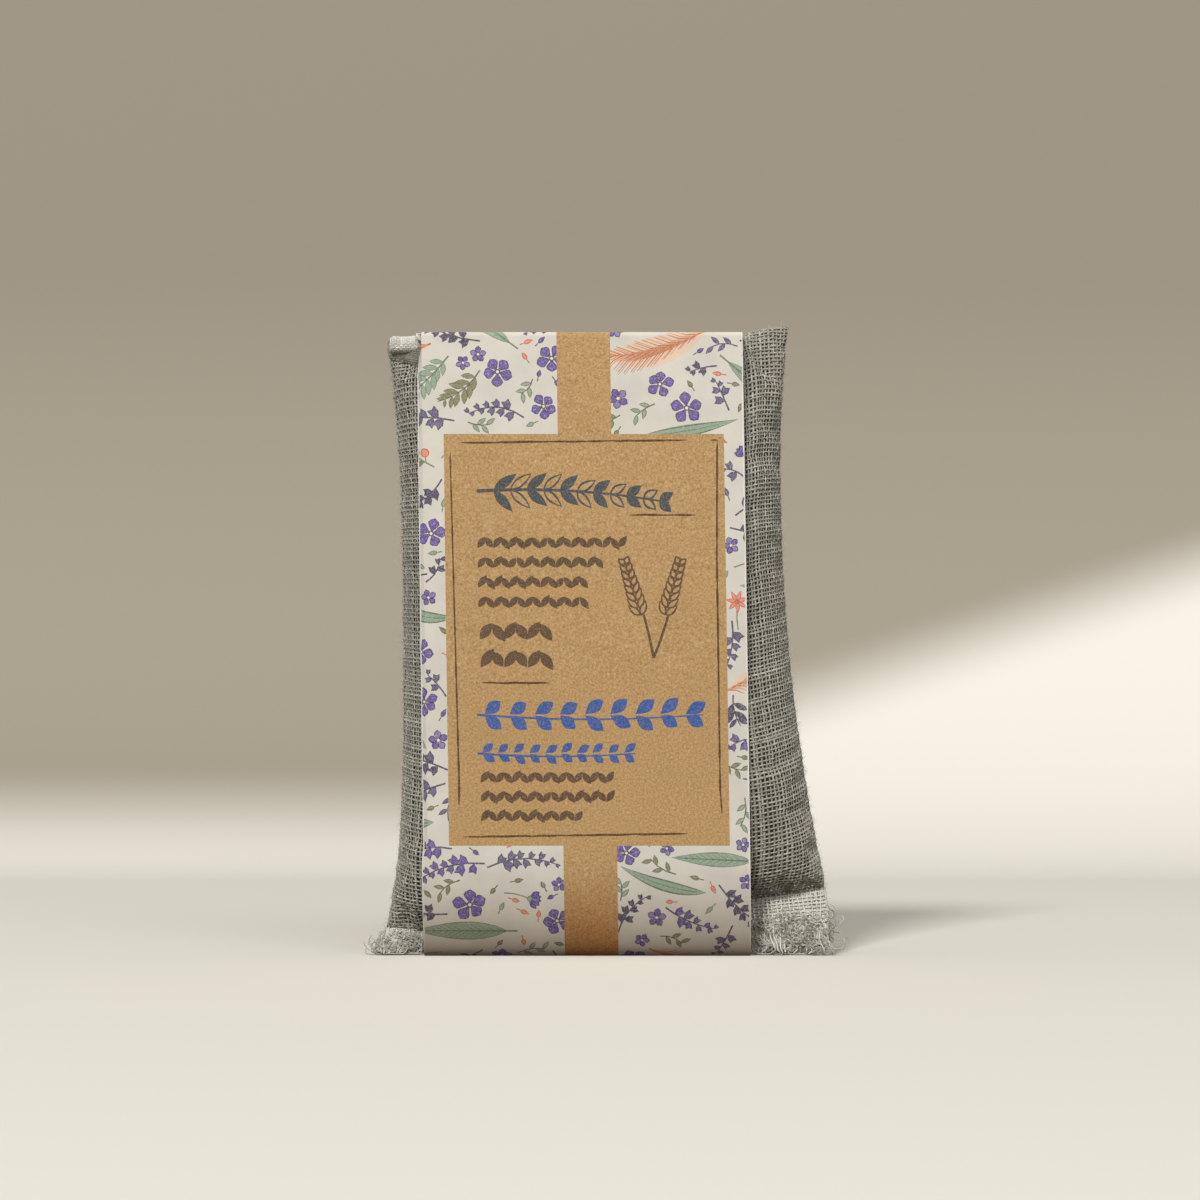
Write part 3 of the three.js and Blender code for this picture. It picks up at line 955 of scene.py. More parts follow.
def addBand():
    flat, faces, faceInks = layPrint()
    place, allFaces = closedStrip(flat, faces)
    materials = [addCardMaterial(), addKraftMaterial(), addCoreMaterial()]
    band = addMesh("printed_band", place, allFaces, materials)
    slots = np.full(len(allFaces), 2)
    slots[:len(faces)] = [1 if ink == "kraft" else 0 for ink in faceInks]
    band.data.polygons.foreach_set("material_index", slots.astype(np.int32))
    # The fourth value says whether the plain ground lies under the ink, or the brown print
    colours = np.array([linear(code)[:3] + [ink not in inksOnKraft] for ink, code in inks.items()])
    perFace = colours[[inkNames.index(ink) for ink in faceInks]]
    perFace = np.concatenate([perFace, np.repeat([linear(inks["core"])], len(allFaces) - len(faces), 0)])
    addValues(band, "ink", np.repeat(perFace, 3, axis=0), "FLOAT_COLOR", "CORNER")
    folded = flat[faces, 0].mean(axis=1) < cardSettings["edgeFold"] - bandSizes["width"] / 2
    # The printed side has the card's own normals, so the print's cuts don't show in its shade
    corners = np.zeros((allFaces.size, 3))
    corners[:faces.size] = cardNormals(flat[allFaces[:len(faces)].ravel(), 1], np.repeat(folded, 3))
    flatNormals = np.empty(len(allFaces) * 3)
    band.data.polygons.foreach_get("normal", flatNormals)
    corners[faces.size:] = np.repeat(flatNormals.reshape(-1, 3)[len(faces):], 3, axis=0)
    band.data.normals_split_custom_set(corners)
    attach(band, "band")
    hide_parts("paper_band")


addBand()
print("card band is printed and folded")


# The bag's form: two bulged faces that meet in their seams, and the raw edges below the closing seam

formSettings = {
    "columns": 64,
    "rows": 88,
    "fineColumns": 161,
    "fineRows": 221,
    "level": 0.6,  # how level the wefts stay, from 0 to 1
    "flangeRows": 10,
    "flangeGap": 0.3,
    "flangeLean": 2.4,
    "flangeFlare": 4,  # the raw edges stand further out beside the band
    "flangeWave": 0.9,
    "flangeSway": 0.8,  # of its two ends
    "floorGap": 0.35,
    "innerLimit": 0.45,  # between the thread's middle and the card
    "endRoom": 1.2,  # beside the band the bag may be thicker, and its right corner higher
    "endReach": 4,
    "cornerRoom": 2.7,
    "cornerReach": 1.5,
    "fillDepth": 1,  # the flowers end this far inside the gauze
    "lump": 0.16,
    "lumpSize": 3.2,
    "wave": 0.3,
    "waveSize": 13,
}

clothSettings = {
    "scale": 10,  # cloth is simulated at ten times its size, where the solver is steady
    "frames": 22,
    "pressure": 3.5,
    "shrink": -0.045,
    "stiffness": 12,
    "bending": 0.4,
    "quality": 6,
    "mass": 0.3,
    "cap": 1.1,  # no point moves further
    "fillShare": 0.8,  # of the gauze's move that the flowers follow
}


def edgeReach(up, side):
    above = np.clip((up - side["waistShare"]) / (1 - side["waistShare"]), 0, 1)
    below = np.clip((side["waistShare"] - up) / side["waistShare"], 0, 1)
    flare = (side["ear"] - side["waist"]) * above ** side["earPower"]
    return side["waist"] + flare + (side["foot"] - side["waist"]) * below ** side["footPower"]


def seamPlane(across, up, inset):
    b = bagSizes
    share = (np.asarray(across) + 1) / 2
    left, right = inset - edgeReach(up, b["left"]), edgeReach(up, b["right"]) - inset
    ears = -b["left"]["ear"] + (b["left"]["ear"] + b["right"]["ear"]) * share
    pastBand = np.maximum(0, (ears - b["bandEnd"]) / (b["right"]["ear"] - b["bandEnd"]))
    level = bandSizes["height"] - bandSizes["card"] - bandSizes["clearance"]
    top = level + b["earRise"] * pastBand ** b["earRisePower"] - inset
    end = np.where(np.asarray(across) < 0, b["seamLeft"], b["seamRight"])
    bottom = b["seamMiddle"] + (end - b["seamMiddle"]) * np.abs(across) ** b["seamPower"] + inset
    return left + (right - left) * share, bottom + (top - bottom) * up


def pillowFace(across, up, inset):
    b = bagSizes
    x, z = seamPlane(across, up, inset)
    fit = bandHalfDepth(np.minimum(z, bandSizes["height"])) - bandSizes["card"] - bandSizes["clearance"]
    rise = 2 * up - 1
    upward = np.sqrt(1 - np.abs(rise) ** np.where(rise > 0, b["topPower"], b["bottomPower"]))
    sideways = np.sqrt(np.maximum(0, 1 - np.abs(across) ** b["acrossPower"]))
    return np.stack([x, (fit - inset) * upward * sideways, z], axis=-1)


def evenly(points, count, axis, alike=0):
    points = np.moveaxis(points, axis, 0)
    along = np.cumsum(np.linalg.norm(np.diff(points, axis=0), axis=2), axis=0)
    along = np.vstack([np.zeros_like(along[:1]), along]) / along[-1]
    along = along * (1 - alike) + along.mean(axis=1, keepdims=True) * alike
    share = np.linspace(0, 1, count + 1)
    spaced = np.empty((count + 1,) + points.shape[1:])
    for j in range(points.shape[1]):
        for k in range(3):
            spaced[:, j, k] = np.interp(share, along[:, j], points[:, j, k])
    return np.moveaxis(spaced, 0, axis)


def evenFace(inset, s):
    across = np.sin(np.linspace(-1, 1, s["fineColumns"]) * math.pi / 2)
    up = (1 - np.cos(np.linspace(0, 1, s["fineRows"]) * math.pi)) / 2
    face = pillowFace(*np.meshgrid(across, up), inset)
    return evenly(evenly(face, s["columns"], 1), s["rows"], 0, s["level"])


def closedPillow(front, back):
    rows, columns = front.shape[0] - 1, front.shape[1] - 1
    number = np.arange(front.shape[0] * front.shape[1]).reshape(front.shape[:2])
    backNumber = number.copy()
    inner = (slice(1, rows), slice(1, columns))
    backNumber[inner] = number.size + np.arange((rows - 1) * (columns - 1)).reshape(rows - 1, columns - 1)
    corners = [(slice(0, -1), slice(0, -1)), (slice(0, -1), slice(1, None))]
    corners += [(slice(1, None), slice(1, None)), (slice(1, None), slice(0, -1))]
    faces = [np.stack([number[c].ravel() for c in corners], 1)]
    faces.append(np.stack([backNumber[c].ravel() for c in reversed(corners)], 1))
    points = np.concatenate([front.reshape(-1, 3), back[inner].reshape(-1, 3)])
    return points, np.concatenate(faces), number, backNumber


def simulatedFaces(front, back, s):
    points, faces, number, backNumber = closedPillow(front, back)
    cloth = addMesh("cloth", points * s["scale"], faces, [])
    held = np.unique(np.concatenate([number[0], number[-1], number[:, 0], number[:, -1]]))
    pins = cloth.vertex_groups.new(name="seams")
    pins.add([int(k) for k in held], 1, "REPLACE")
    solver = cloth.modifiers.new("cloth", "CLOTH")
    solver.settings.quality = s["quality"]
    solver.settings.mass = s["mass"]
    solver.settings.use_pressure = True
    solver.settings.uniform_pressure_force = s["pressure"]
    solver.settings.shrink_min = s["shrink"]
    solver.settings.tension_stiffness = s["stiffness"]
    solver.settings.compression_stiffness = s["stiffness"]
    solver.settings.bending_stiffness = s["bending"]
    solver.settings.vertex_group_mass = "seams"
    solver.settings.effector_weights.gravity = 0
    solver.collision_settings.use_collision = False
    scene = bpy.context.scene
    for step in range(1, s["frames"] + 1):
        scene.frame_set(step)
    bpy.context.view_layer.objects.active = cloth
    bpy.ops.object.modifier_apply(modifier="cloth")
    settled = np.empty(len(points) * 3, np.float32)
    cloth.data.vertices.foreach_get("co", settled)
    bpy.data.objects.remove(cloth)
    scene.frame_set(1)
    moved = settled.reshape(-1, 3) / mm / s["scale"] - points
    far = np.linalg.norm(moved, axis=1)[:, None]
    print("cloth moved", round(float(far.mean()), 2), "mm on average,", round(float(far.max()), 2), "at most")
    moved *= s["cap"] * np.tanh(far / s["cap"]) / np.maximum(far, 1e-6)
    return front + moved[number], back + moved[backNumber]


def faceNormals(face, side):
    out = np.cross(np.gradient(face, axis=1), np.gradient(face, axis=0)) * side
    return out / np.maximum(np.linalg.norm(out, axis=2)[..., None], 1e-9)


def keepInBand(face, side, gap):
    room = bandHalfDepth(np.minimum(face[..., 2], bandSizes["height"])) - bandSizes["card"] - gap
    f = formSettings
    beside = np.clip((face[..., 0] - bandSizes["width"] / 2 - 1) / f["endReach"], 0, 1)
    room = room + f["endRoom"] * beside
    face[..., 1] = np.clip(face[..., 1] * -side, -0.05, room) * -side
    pastBand = np.clip((face[..., 0] - bagSizes["bandEnd"]) / f["cornerReach"], 0, 1)
    top = bandSizes["height"] - bandSizes["card"] - gap + f["cornerRoom"] * pastBand
    face[..., 2] = np.clip(face[..., 2], 0.3, top)
    return face


def lumpyFace(face, side, s, seed):
    out = faceNormals(face, side)
    rows, columns = face.shape[:2]
    rise = np.empty((rows, columns))
    for j in range(rows):
        for i in range(columns):
            p = Vector(face[j, i]) + Vector((seed, 0, 0))
            lump = s["lump"] * noise.noise(p / s["lumpSize"])
            rise[j, i] = lump + s["wave"] * noise.noise(p / s["waveSize"])
    fade = np.minimum(np.minimum(np.arange(columns), np.arange(columns)[::-1])[None] / 4, 1)
    fade = fade * np.minimum(np.minimum(np.arange(rows), np.arange(rows)[::-1])[:, None] / 4, 1)
    return face + out * (rise * fade)[..., None]


def flangeRows(face, side, s):
    seam, b = face[0], bagSizes
    share = np.linspace(1, 0, s["flangeRows"] + 1)[:-1, None]
    left, right = -b["left"]["foot"] - b["flangeSpread"], b["right"]["foot"] + b["flangeSpread"]
    place = (seam[:, 0] - seam[0, 0]) / (seam[-1, 0] - seam[0, 0])
    floorX = left + (right - left) * place
    x = seam[:, 0] + (floorX - seam[:, 0]) * share ** 1.3
    x = x + s["flangeSway"] * np.sin(share * 5 + side) * np.abs(2 * place - 1) ** 8 * share
    z = seam[:, 2] + (s["floorGap"] - seam[:, 2]) * share
    wave = s["flangeWave"] * (np.sin(floorX * 0.55 + side) + 0.5 * np.sin(floorX * 1.31 + 2 * side))
    beside = np.clip((np.abs(floorX) - bandSizes["width"] / 2 - 1.2) / s["endReach"], 0, 1)
    lean = s["flangeLean"] + s["flangeFlare"] * beside + wave
    out = s["flangeGap"] + lean * share ** (1.5 - 0.9 * beside)
    return np.stack([x, -side * out, z], axis=-1)


def bagForm(s):
    face, inner = evenFace(0, s), evenFace(s["fillDepth"], s)
    front, back = face * (1, -1, 1), face.copy()
    front, back = simulatedFaces(front, back, clothSettings)
    sides = {}
    for name, side, sheet in (("front", 1, front), ("back", -1, back)):
        moved = sheet - face * (1, -side, 1)
        sheet = keepInBand(lumpyFace(sheet, side, s, 40 * side), side, s["innerLimit"])
        fill = inner * (1, -side, 1) + moved * clothSettings["fillShare"]
        fill = keepInBand(lumpyFace(fill, side, s, 40 * side), side, s["innerLimit"] + s["fillDepth"])
        sides[name] = {"side": side, "sheet": sheet, "fill": fill, "flange": flangeRows(sheet, side, s)}
    return sides


bag = bagForm(formSettings)
print("bag has its form")


# Gauze: plain weave of single cotton threads, each a flattened tube that goes over and under

weaveSettings = {
    "warps": 100,
    "wefts": 142,
    "flangeWefts": 9,
    "frayPoints": 6,
    "halfWidth": 0.22,
    "halfHeight": 0.1,
    "overUnder": 0.1,
    "thickWarps": (0.05, 1.3),  # a share of the threads is thicker, as if doubled, by this factor
    "thickWefts": (0.06, 1.35),
    "sizeSpread": (0.12, 0.07),  # from thread to thread, and along one
    "tone": 0.5,
    "toneSpread": (0.09, 0.04),
    "jitter": 0.055,
    "drift": 0.28,
    "meander": 0.055,
    "meanderEvery": 7,  # crossings
    "frayStray": (0.75, 0.8, 0.3),
    "frayOver": 0.3,  # of overUnder, where no weft bends the threads
    "bundleShare": 0.45,
    "bundling": 0.4,
    "leafWarps": 190,
    "leafWefts": 18,
    "leafDepth": 0.3,
    "leafStart": 0.14,  # as a share of the raw edge's height
    "flangeSize": 0.78,
    "flangeLightTone": 0.58,  # painted light: the raw edge's threads are coloured lighter, as if they catch more light
    "warpPitch": 0.9,  # about, where the allowances lie
    "weftPitch": 0.83,
    "allowanceThreads": 8,
    "allowanceRows": (0.01, 0.99),
    "allowanceGrid": (9, 60),
    "allowanceDepth": 0.34,  # it lies against the panel's inside
    "allowanceTone": 0.2,
    "seed": 5,
}


def sampled(grid, column, row):
    rows, columns = grid.shape[0] - 1, grid.shape[1] - 1
    c = np.clip(column, 0, 1) * columns
    r = np.clip(row, 0, 1) * rows
    c0, r0 = np.minimum(c.astype(int), columns - 1), np.minimum(r.astype(int), rows - 1)
    fc, fr = (c - c0)[..., None], (r - r0)[..., None]
    low = grid[r0, c0] * (1 - fc) + grid[r0, c0 + 1] * fc
    high = grid[r0 + 1, c0] * (1 - fc) + grid[r0 + 1, c0 + 1] * fc
    return low * (1 - fr) + high * fr


def wander(rng, lines, points, every):
    knots = max(2, points // every + 2)
    values = rng.normal(0, 1, (lines, knots))
    values[1:] = values[1:] * 0.6 + values[:-1] * 0.5  # neighbours stray together
    at = np.linspace(0, knots - 1, points)
    return np.array([np.interp(at, np.arange(knots), line) for line in values])


def threadPlaces(rng, count, s):
    drift = np.convolve(rng.normal(0, 1, count + 12), np.ones(13) / 13, "valid") * 3
    places = (np.arange(count) + 0.5 + rng.normal(0, s["jitter"], count) + s["drift"] * drift) / count
    return np.clip(np.sort(places), 0.003, 0.997)


def tubes(centres, out, halfWidth, halfHeight):
    along = np.gradient(centres, axis=1)
    across = np.cross(out, along)
    across /= np.linalg.norm(across, axis=2)[..., None]
    up = np.cross(along, across)
    up /= np.linalg.norm(up, axis=2)[..., None]
    across, up = across * halfWidth[..., None], up * halfHeight[..., None]
    rings = np.stack([centres + across - up / 2, centres + up, centres - across - up / 2], axis=2)
    lines, count = centres.shape[:2]
    number = np.arange(lines * count * 3).reshape(lines, count, 3)
    a, b = number[:, :-1], number[:, 1:]
    nextA, nextB = np.roll(a, -1, 2), np.roll(b, -1, 2)
    walls = [np.stack(corners, -1).reshape(-1, 3) for corners in ((a, nextA, nextB), (a, nextB, b))]
    return rings.reshape(-1, 3), np.concatenate(walls + [number[:, 0, ::-1], number[:, -1]])


def joined(parts):
    points, faces, tones, start = [], [], [], 0
    for part, corners, tone in parts:
        points.append(part)
        faces.append(corners + start)
        tones.append(tone)
        start += len(part)
    return np.concatenate(points), np.concatenate(faces), np.concatenate(tones)


def threadSizes(rng, lines, points, spread, thick):
    share, factor = thick
    size = rng.normal(1, spread[0], (lines, 1)) + rng.normal(0, spread[1], (lines, points))
    size[rng.random(lines) < share] *= factor
    return size


def weave(grid, out, columns, rows, rng, s, weftFrom=0):
    # columns and rows are the threads' places as shares; the first weftFrom rows have no weft
    warps, count = len(columns), len(rows)
    strayWarp = wander(rng, warps, count, s["meanderEvery"]) * s["meander"] / warps
    strayWeft = wander(rng, count, warps, s["meanderEvery"]).T * s["meander"] / count
    column, row = columns[:, None] + strayWarp, rows[None] + strayWeft
    middle, normal = sampled(grid, column, row), sampled(out, column, row)
    normal /= np.linalg.norm(normal, axis=2)[..., None]
    over = s["overUnder"] * (1 - 2 * ((np.arange(warps)[:, None] + np.arange(count)[None]) % 2))
    over[:, :weftFrom] *= s["frayOver"]
    warpSize = threadSizes(rng, warps, count, s["sizeSpread"], s["thickWarps"])
    weftSize = threadSizes(rng, count, warps, s["sizeSpread"], s["thickWefts"])
    warp = middle + normal * over[..., None]
    weft = (middle - normal * over[..., None])[:, weftFrom:].transpose(1, 0, 2)
    return warp, normal, warpSize, weft, normal[:, weftFrom:].transpose(1, 0, 2), weftSize[weftFrom:]


def threadPart(centres, out, size, rng, s, lift):
    points, faces = tubes(centres, out, s["halfWidth"] * size, s["halfHeight"] * np.ones_like(size))
    between, along = s["toneSpread"]
    tone = rng.normal(s["tone"], between, (len(centres), 1)) + rng.normal(0, along, size.shape) + lift
    return points, faces, np.repeat(tone.ravel(), 3)


def wovenParts(grid, out, columns, rows, rng, s, lift):
    threads = weave(grid, out, columns, rows, rng, s)
    return [threadPart(*threads[k:k + 3], rng, s, lift) for k in (0, 3)]


def addCottonMaterial():  # soft, matt and a little uneven
    surface = {"Roughness": 0.9, "Specular IOR Level": 0.2, "Sheen Weight": 0.25, "Sheen Roughness": 0.5}
    material, tree, shader, place = newMaterial("cotton gauze thread, unbleached", surface)
    tone = addNode(tree, "Attribute", attribute_name="tone").outputs["Fac"]
    slub = addNode(tree, "TexNoise", {"Vector": place}, {"Scale": perMillimetre(1.5), "Detail": 3})
    both = addNode(tree, "Math", {0: tone, 1: slub.outputs[0]}, operation="ADD")
    mean = addNode(tree, "Math", {0: both.outputs[0]}, {1: 0.5}, operation="MULTIPLY")
    colour = addNode(tree, "ValToRGB", {0: mean.outputs[0]})
    setRamp(colour, (0.08, "#6E6A59"), (0.28, "#8C897B"), (0.5, "#A6A394"), (0.78, "#E2DED2"))
    tree.links.new(colour.outputs[0], shader.inputs["Base Color"])
    twist = addNode(tree, "TexNoise", {"Vector": place}, {"Scale": perMillimetre(0.12), "Detail": 1})
    bump = addNode(tree, "Bump", {"Height": twist.outputs[0]}, {"Strength": 0.4, "Distance": 0.04 * mm})
    tree.links.new(bump.outputs[0], shader.inputs["Normal"])
    return material


cotton = addCottonMaterial()


def addThreadPiece(name, parts, replaced=()):
    points, faces, tones = joined(parts)
    piece = addMesh(name, points, faces, [cotton])
    addValues(piece, "tone", tones)
    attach(piece, "bag")
    if replaced:
        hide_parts(*replaced)
    return piece


def wholeSide(form):  # the raw edge below the seam and the face above it
    parts = form["flange"], form["sheet"]
    return np.concatenate(parts), np.concatenate([faceNormals(part, form["side"]) for part in parts])


def allowancePatches(form, s):
    sheet, out = form["sheet"], faceNormals(form["sheet"], form["side"])
    wide = bagSizes["allowance"] / (s["warps"] * s["warpPitch"])
    high = bagSizes["allowance"] / (s["wefts"] * s["weftPitch"])
    tall, (short, long) = s["allowanceRows"], s["allowanceGrid"]
    left, right = ((0, wide), tall, short, long), ((1 - wide, 1), tall, short, long)
    patches = []
    for columns, rows, across, up in (left, right, ((wide, 1 - wide), (1 - high, 1), long, short)):
        column, row = np.meshgrid(np.linspace(*columns, across), np.linspace(*rows, up))
        normal = sampled(out, column, row)
        patches.append((sampled(sheet, column, row) - normal * s["allowanceDepth"], normal))
    return patches


def frayed(warp, rng, s):
    count = s["frayPoints"]
    grow = np.linspace(1, 0, count + 1)[:-1][None, :, None] ** 1.2
    stray = np.stack([wander(rng, len(warp), count, 2) * size for size in s["frayStray"]], axis=-1)
    warp[:, :count] += stray * grow
    below = count + s["flangeWefts"]
    bundle = np.cumsum(rng.random(len(warp)) < s["bundleShare"])  # threads lie together in twos and threes
    for k in range(bundle[-1] + 1):
        ones = bundle == k
        if ones.any():
            pull = s["bundling"] * np.linspace(1, 0, below)[None, :]
            middle = warp[ones, :below, 0].mean(axis=0, keepdims=True)
            warp[ones, :below, 0] += (middle - warp[ones, :below, 0]) * pull
    warp[:, :count, 2] = np.maximum(warp[:, :count, 2], formSettings["floorGap"])
    return warp


def panelParts(form, rng, s):
    grid, out = wholeSide(form)
    seam = formSettings["flangeRows"] / (len(grid) - 1)
    fray = np.linspace(0, seam * 0.48, s["frayPoints"], endpoint=False)
    flange = np.linspace(seam * 0.5, seam, s["flangeWefts"], endpoint=False)
    panel = seam + (1 - seam) * threadPlaces(rng, s["wefts"], s)
    places = np.concatenate([fray, flange, panel])
    columns = threadPlaces(rng, s["warps"], s)
    threads = weave(grid, out, columns, places, rng, s, s["frayPoints"])
    warp, warpOut, warpSize, weft, weftOut, weftSize = threads
    warp = frayed(warp, rng, s)
    below = s["frayPoints"] + s["flangeWefts"]
    warpSize[:, :below] *= s["flangeSize"]
    weftSize[:s["flangeWefts"]] *= s["flangeSize"]
    # painted light: the raw edge's threads are coloured lighter
    warpPaintedLight = s["flangeLightTone"] * (np.arange(len(places)) < below)
    weftPaintedLight = s["flangeLightTone"] * (np.arange(len(weft)) < s["flangeWefts"])[:, None]
    parts = [threadPart(warp, warpOut, warpSize, rng, s, warpPaintedLight)]
    parts.append(threadPart(weft, weftOut, weftSize, rng, s, weftPaintedLight))
    return parts


def turnedInParts(form, rng, s):  # the allowances inside the seams, and the raw edge's inner layer
    parts = []
    for patch, patchOut in allowancePatches(form, s):
        short, long = s["allowanceThreads"], s["wefts"]
        wide = patch.shape[1] > patch.shape[0]
        counts = (s["warps"], short) if wide else (short, long)
        columns, rows = [threadPlaces(rng, count, s) for count in counts]
        parts += wovenParts(patch, patchOut, columns, rows, rng, s, s["allowanceTone"])
    leaf, leafOut = form["flange"], faceNormals(form["flange"], form["side"])
    leaf = np.concatenate([leaf, form["sheet"][:1] - (0, form["side"] * formSettings["flangeGap"], 0)])
    leafOut = np.concatenate([leafOut, leafOut[-1:]])
    columns, rows = threadPlaces(rng, s["leafWarps"], s), np.linspace(s["leafStart"], 1, s["leafWefts"])
    leaf = leaf - leafOut * s["leafDepth"]
    # the raw edge's inner layer carries the same painted light
    return parts + wovenParts(leaf, leafOut, columns, rows, rng, s, s["flangeLightTone"])


def addPanel(name, form, s):
    rng = np.random.default_rng(s["seed"] + form["side"])
    gauze = addThreadPiece("gauze_" + name, panelParts(form, rng, s), [name + "_panel"])
    turnedIn = addThreadPiece("turned_allowance_" + name, turnedInParts(form, rng, s))


earSettings = {
    "across": (-37.6, -29.5),
    "height": 118,
    "depth": -2.4,
    "radius": 1.6,
    "turn": (-100, 130),
    "rollGrid": (24, 16),
    "endReach": 1.5,  # the roll opens from its left end
    "endShare": 0.45,
    "ripple": 0.05,
    "rippleRate": 1.3,
    "warps": 17,
    "wefts": 15,
    # painted light: the roll's threads are coloured lighter than the panel's
    "rollLightTone": 0.42,
    "tuckRows": (0.86, 0.995),  # of the sheet, where the fold's heights are looked up
    "tuckColumns": (0.005, 0.125),
    "tuckTop": 117.9,
    "tuckHeight": 2.4,
    "tuckFall": 0.8,
    "tuckWiden": 0.6,
    "tuckLift": (0.25, 0.7, 1, 1.2, 1.3),
    "tuckLiftStart": 0.4,
    "tuckLiftRise": 4,
    "tuckWarps": 24,
    "tuckWefts": 9,
    # painted shade: the fold's threads are coloured darker, more so to the right
    "tuckShadeTone": -0.5,
    "tuckShadeStart": 0.4,
    "tuckShadeRise": 0.8,
    "overUnder": 0.05,  # flatter than the panels' weave
}


def rolledParts(rng, s, e):
    across, around = e["rollGrid"]
    turns = np.radians(np.linspace(*e["turn"], around))
    x, turn = np.meshgrid(np.linspace(*e["across"], across), turns)
    radius = e["radius"] * np.clip((x - e["across"][0]) / e["endReach"] + e["endShare"], 0, 1) ** 0.5
    radius = radius * (1 + e["ripple"] * np.sin(x * e["rippleRate"]))
    out = np.stack([0 * x, -np.cos(turn), np.sin(turn)], axis=-1)
    grid = np.stack([x, 0 * x + e["depth"], 0 * x + e["height"]], axis=-1) + out * radius[..., None]
    columns, rows = threadPlaces(rng, e["warps"], s), threadPlaces(rng, e["wefts"], s)
    # painted light on the roll's threads
    return wovenParts(grid, out, columns, rows, rng, s, e["rollLightTone"])


def tuckedParts(form, rng, s, e):  # a flat fold below the roll, wider to the right, its threads coloured darker as painted shade, darker still to the right
    sheet, out = form["sheet"], faceNormals(form["sheet"], 1)
    tuck, rows = [], np.linspace(*e["tuckRows"], 40)
    start, end = e["tuckColumns"]
    fall = np.linspace(1, 0, len(e["tuckLift"])) * e["tuckHeight"]
    for share in np.linspace(0, 1, 20):
        column = start + (end - start) * share
        heights = sampled(sheet, column + 0 * rows, rows)[:, 2]
        z = e["tuckTop"] - e["tuckFall"] * share - fall * (1 + e["tuckWiden"] * share)
        row = np.interp(z, heights, rows)
        column = column + 0 * row
        lift = np.array(e["tuckLift"]) * min(1, e["tuckLiftStart"] + e["tuckLiftRise"] * share)
        tuck.append(sampled(sheet, column, row) + sampled(out, column, row) * lift[:, None])
    tuck = np.stack(tuck, axis=1)
    places = threadPlaces(rng, e["tuckWarps"], s)
    threads = weave(tuck, faceNormals(tuck, 1), places, threadPlaces(rng, e["tuckWefts"], s), rng, s)
    shade = e["tuckShadeTone"] * (e["tuckShadeStart"] + e["tuckShadeRise"] * places)
    parts = [threadPart(*threads[:3], rng, s, shade[:, None])]
    return parts + [threadPart(*threads[3:], rng, s, shade[None])]


def foldedEarParts(form, s, e):
    rng = np.random.default_rng(s["seed"] + 20)
    flatter = dict(s, overUnder=e["overUnder"])
    return rolledParts(rng, flatter, e) + tuckedParts(form, rng, flatter, e)


fibreSettings = {
    "seed": 31,
    "hairs": 1500,  # on each face
    "hairPoints": 5,
    "hairLength": 0.55,
    "edgeHairs": 0.35,
    "topHairs": 0.06,
    "hairBend": 0.8,
    "hairWidth": 0.018,
    "hairEnds": (0.13, 0.86),  # hairs stand to the left and right of these shares of the width
    "curls": 380,
    "curlPoints": 10,
    "curlStep": 0.5,
    "curlsLeft": 0.42,  # share of them at the left end
    "curlHeading": (-2.6, -0.5),
    "curlRate": (0.15, 0.85),
    "curlNoise": 0.25,
    "curlEnds": (0.1, 0.8),  # and curls of these
    "curlWidth": (0.25, 0.55),  # shares of a woven thread's
    "tone": 0.78,
    "toneSpread": 0.14,
}


def looseHairs(form, rng, s):
    grid, out = wholeSide(form)
    count, (left, right) = s["hairs"], s["hairEnds"]
    column = np.where(rng.random(count) < 0.5, rng.uniform(0, left, count), rng.uniform(right, 1, count))
    atEdge = rng.random(count) < s["edgeHairs"]
    column = np.where(atEdge, np.round(column), column)
    row = np.where(rng.random(count) < s["topHairs"], 1, rng.uniform(0, 0.96, count))
    column = np.where(row == 1, np.clip(column, 0.02, 0.98), column)
    base, normal = sampled(grid, column, row), sampled(out, column, row)
    along = rng.normal(0, 1, (count, 3))
    along[:, 0] += np.where(atEdge, np.sign(base[:, 0]) * 1.2, 0)
    along += normal * 0.6
    along /= np.linalg.norm(along, axis=1)[:, None]
    bend = np.cross(along, rng.normal(0, 1, (count, 3)))
    t = np.linspace(0, 1, s["hairPoints"])[None, :, None]
    length = s["hairLength"] * rng.uniform(0.4, 1.3, (count, 1, 1))
    hairs = base[:, None] + length * (along[:, None] * t + bend[:, None] * s["hairBend"] * t ** 2)
    hairs[..., 2] = np.maximum(hairs[..., 2], 0.2)
    out = np.broadcast_to(np.cross(along, bend)[:, None], hairs.shape)
    return hairs, out, np.full(hairs.shape[:2], s["hairWidth"])


def looseCurls(form, rng, s):
    count, (left, right) = s["curls"], s["curlEnds"]
    atLeft = rng.random(count) < s["curlsLeft"]
    column = np.where(atLeft, rng.uniform(0, left, count), rng.uniform(right, 1, count))
    base = sampled(form["flange"], column, rng.uniform(0.15, 0.7, count))
    heading = rng.uniform(*s["curlHeading"], count)
    rate = rng.choice([-1, 1], count) * rng.uniform(*s["curlRate"], count)
    k = np.arange(s["curlPoints"])[None]
    turn = heading[:, None] + rate[:, None] * k
    turn = turn + rng.normal(0, s["curlNoise"], (count, s["curlPoints"]))
    x = base[:, :1] + np.cumsum(np.cos(turn), axis=1) * s["curlStep"]
    z = np.maximum(base[:, 2:] + np.cumsum(np.sin(turn), axis=1) * s["curlStep"], 0.3)
    y = base[:, 1:2] - form["side"] * (0.25 + 0.06 * k * rng.uniform(0, 1, (count, 1)))
    centres = np.stack([x, y, z], axis=-1)
    out = np.zeros_like(centres)
    out[..., 1] = -form["side"]
    width = weaveSettings["halfWidth"] * rng.uniform(*s["curlWidth"], (count, 1))
    return centres, out, width * np.ones_like(x)


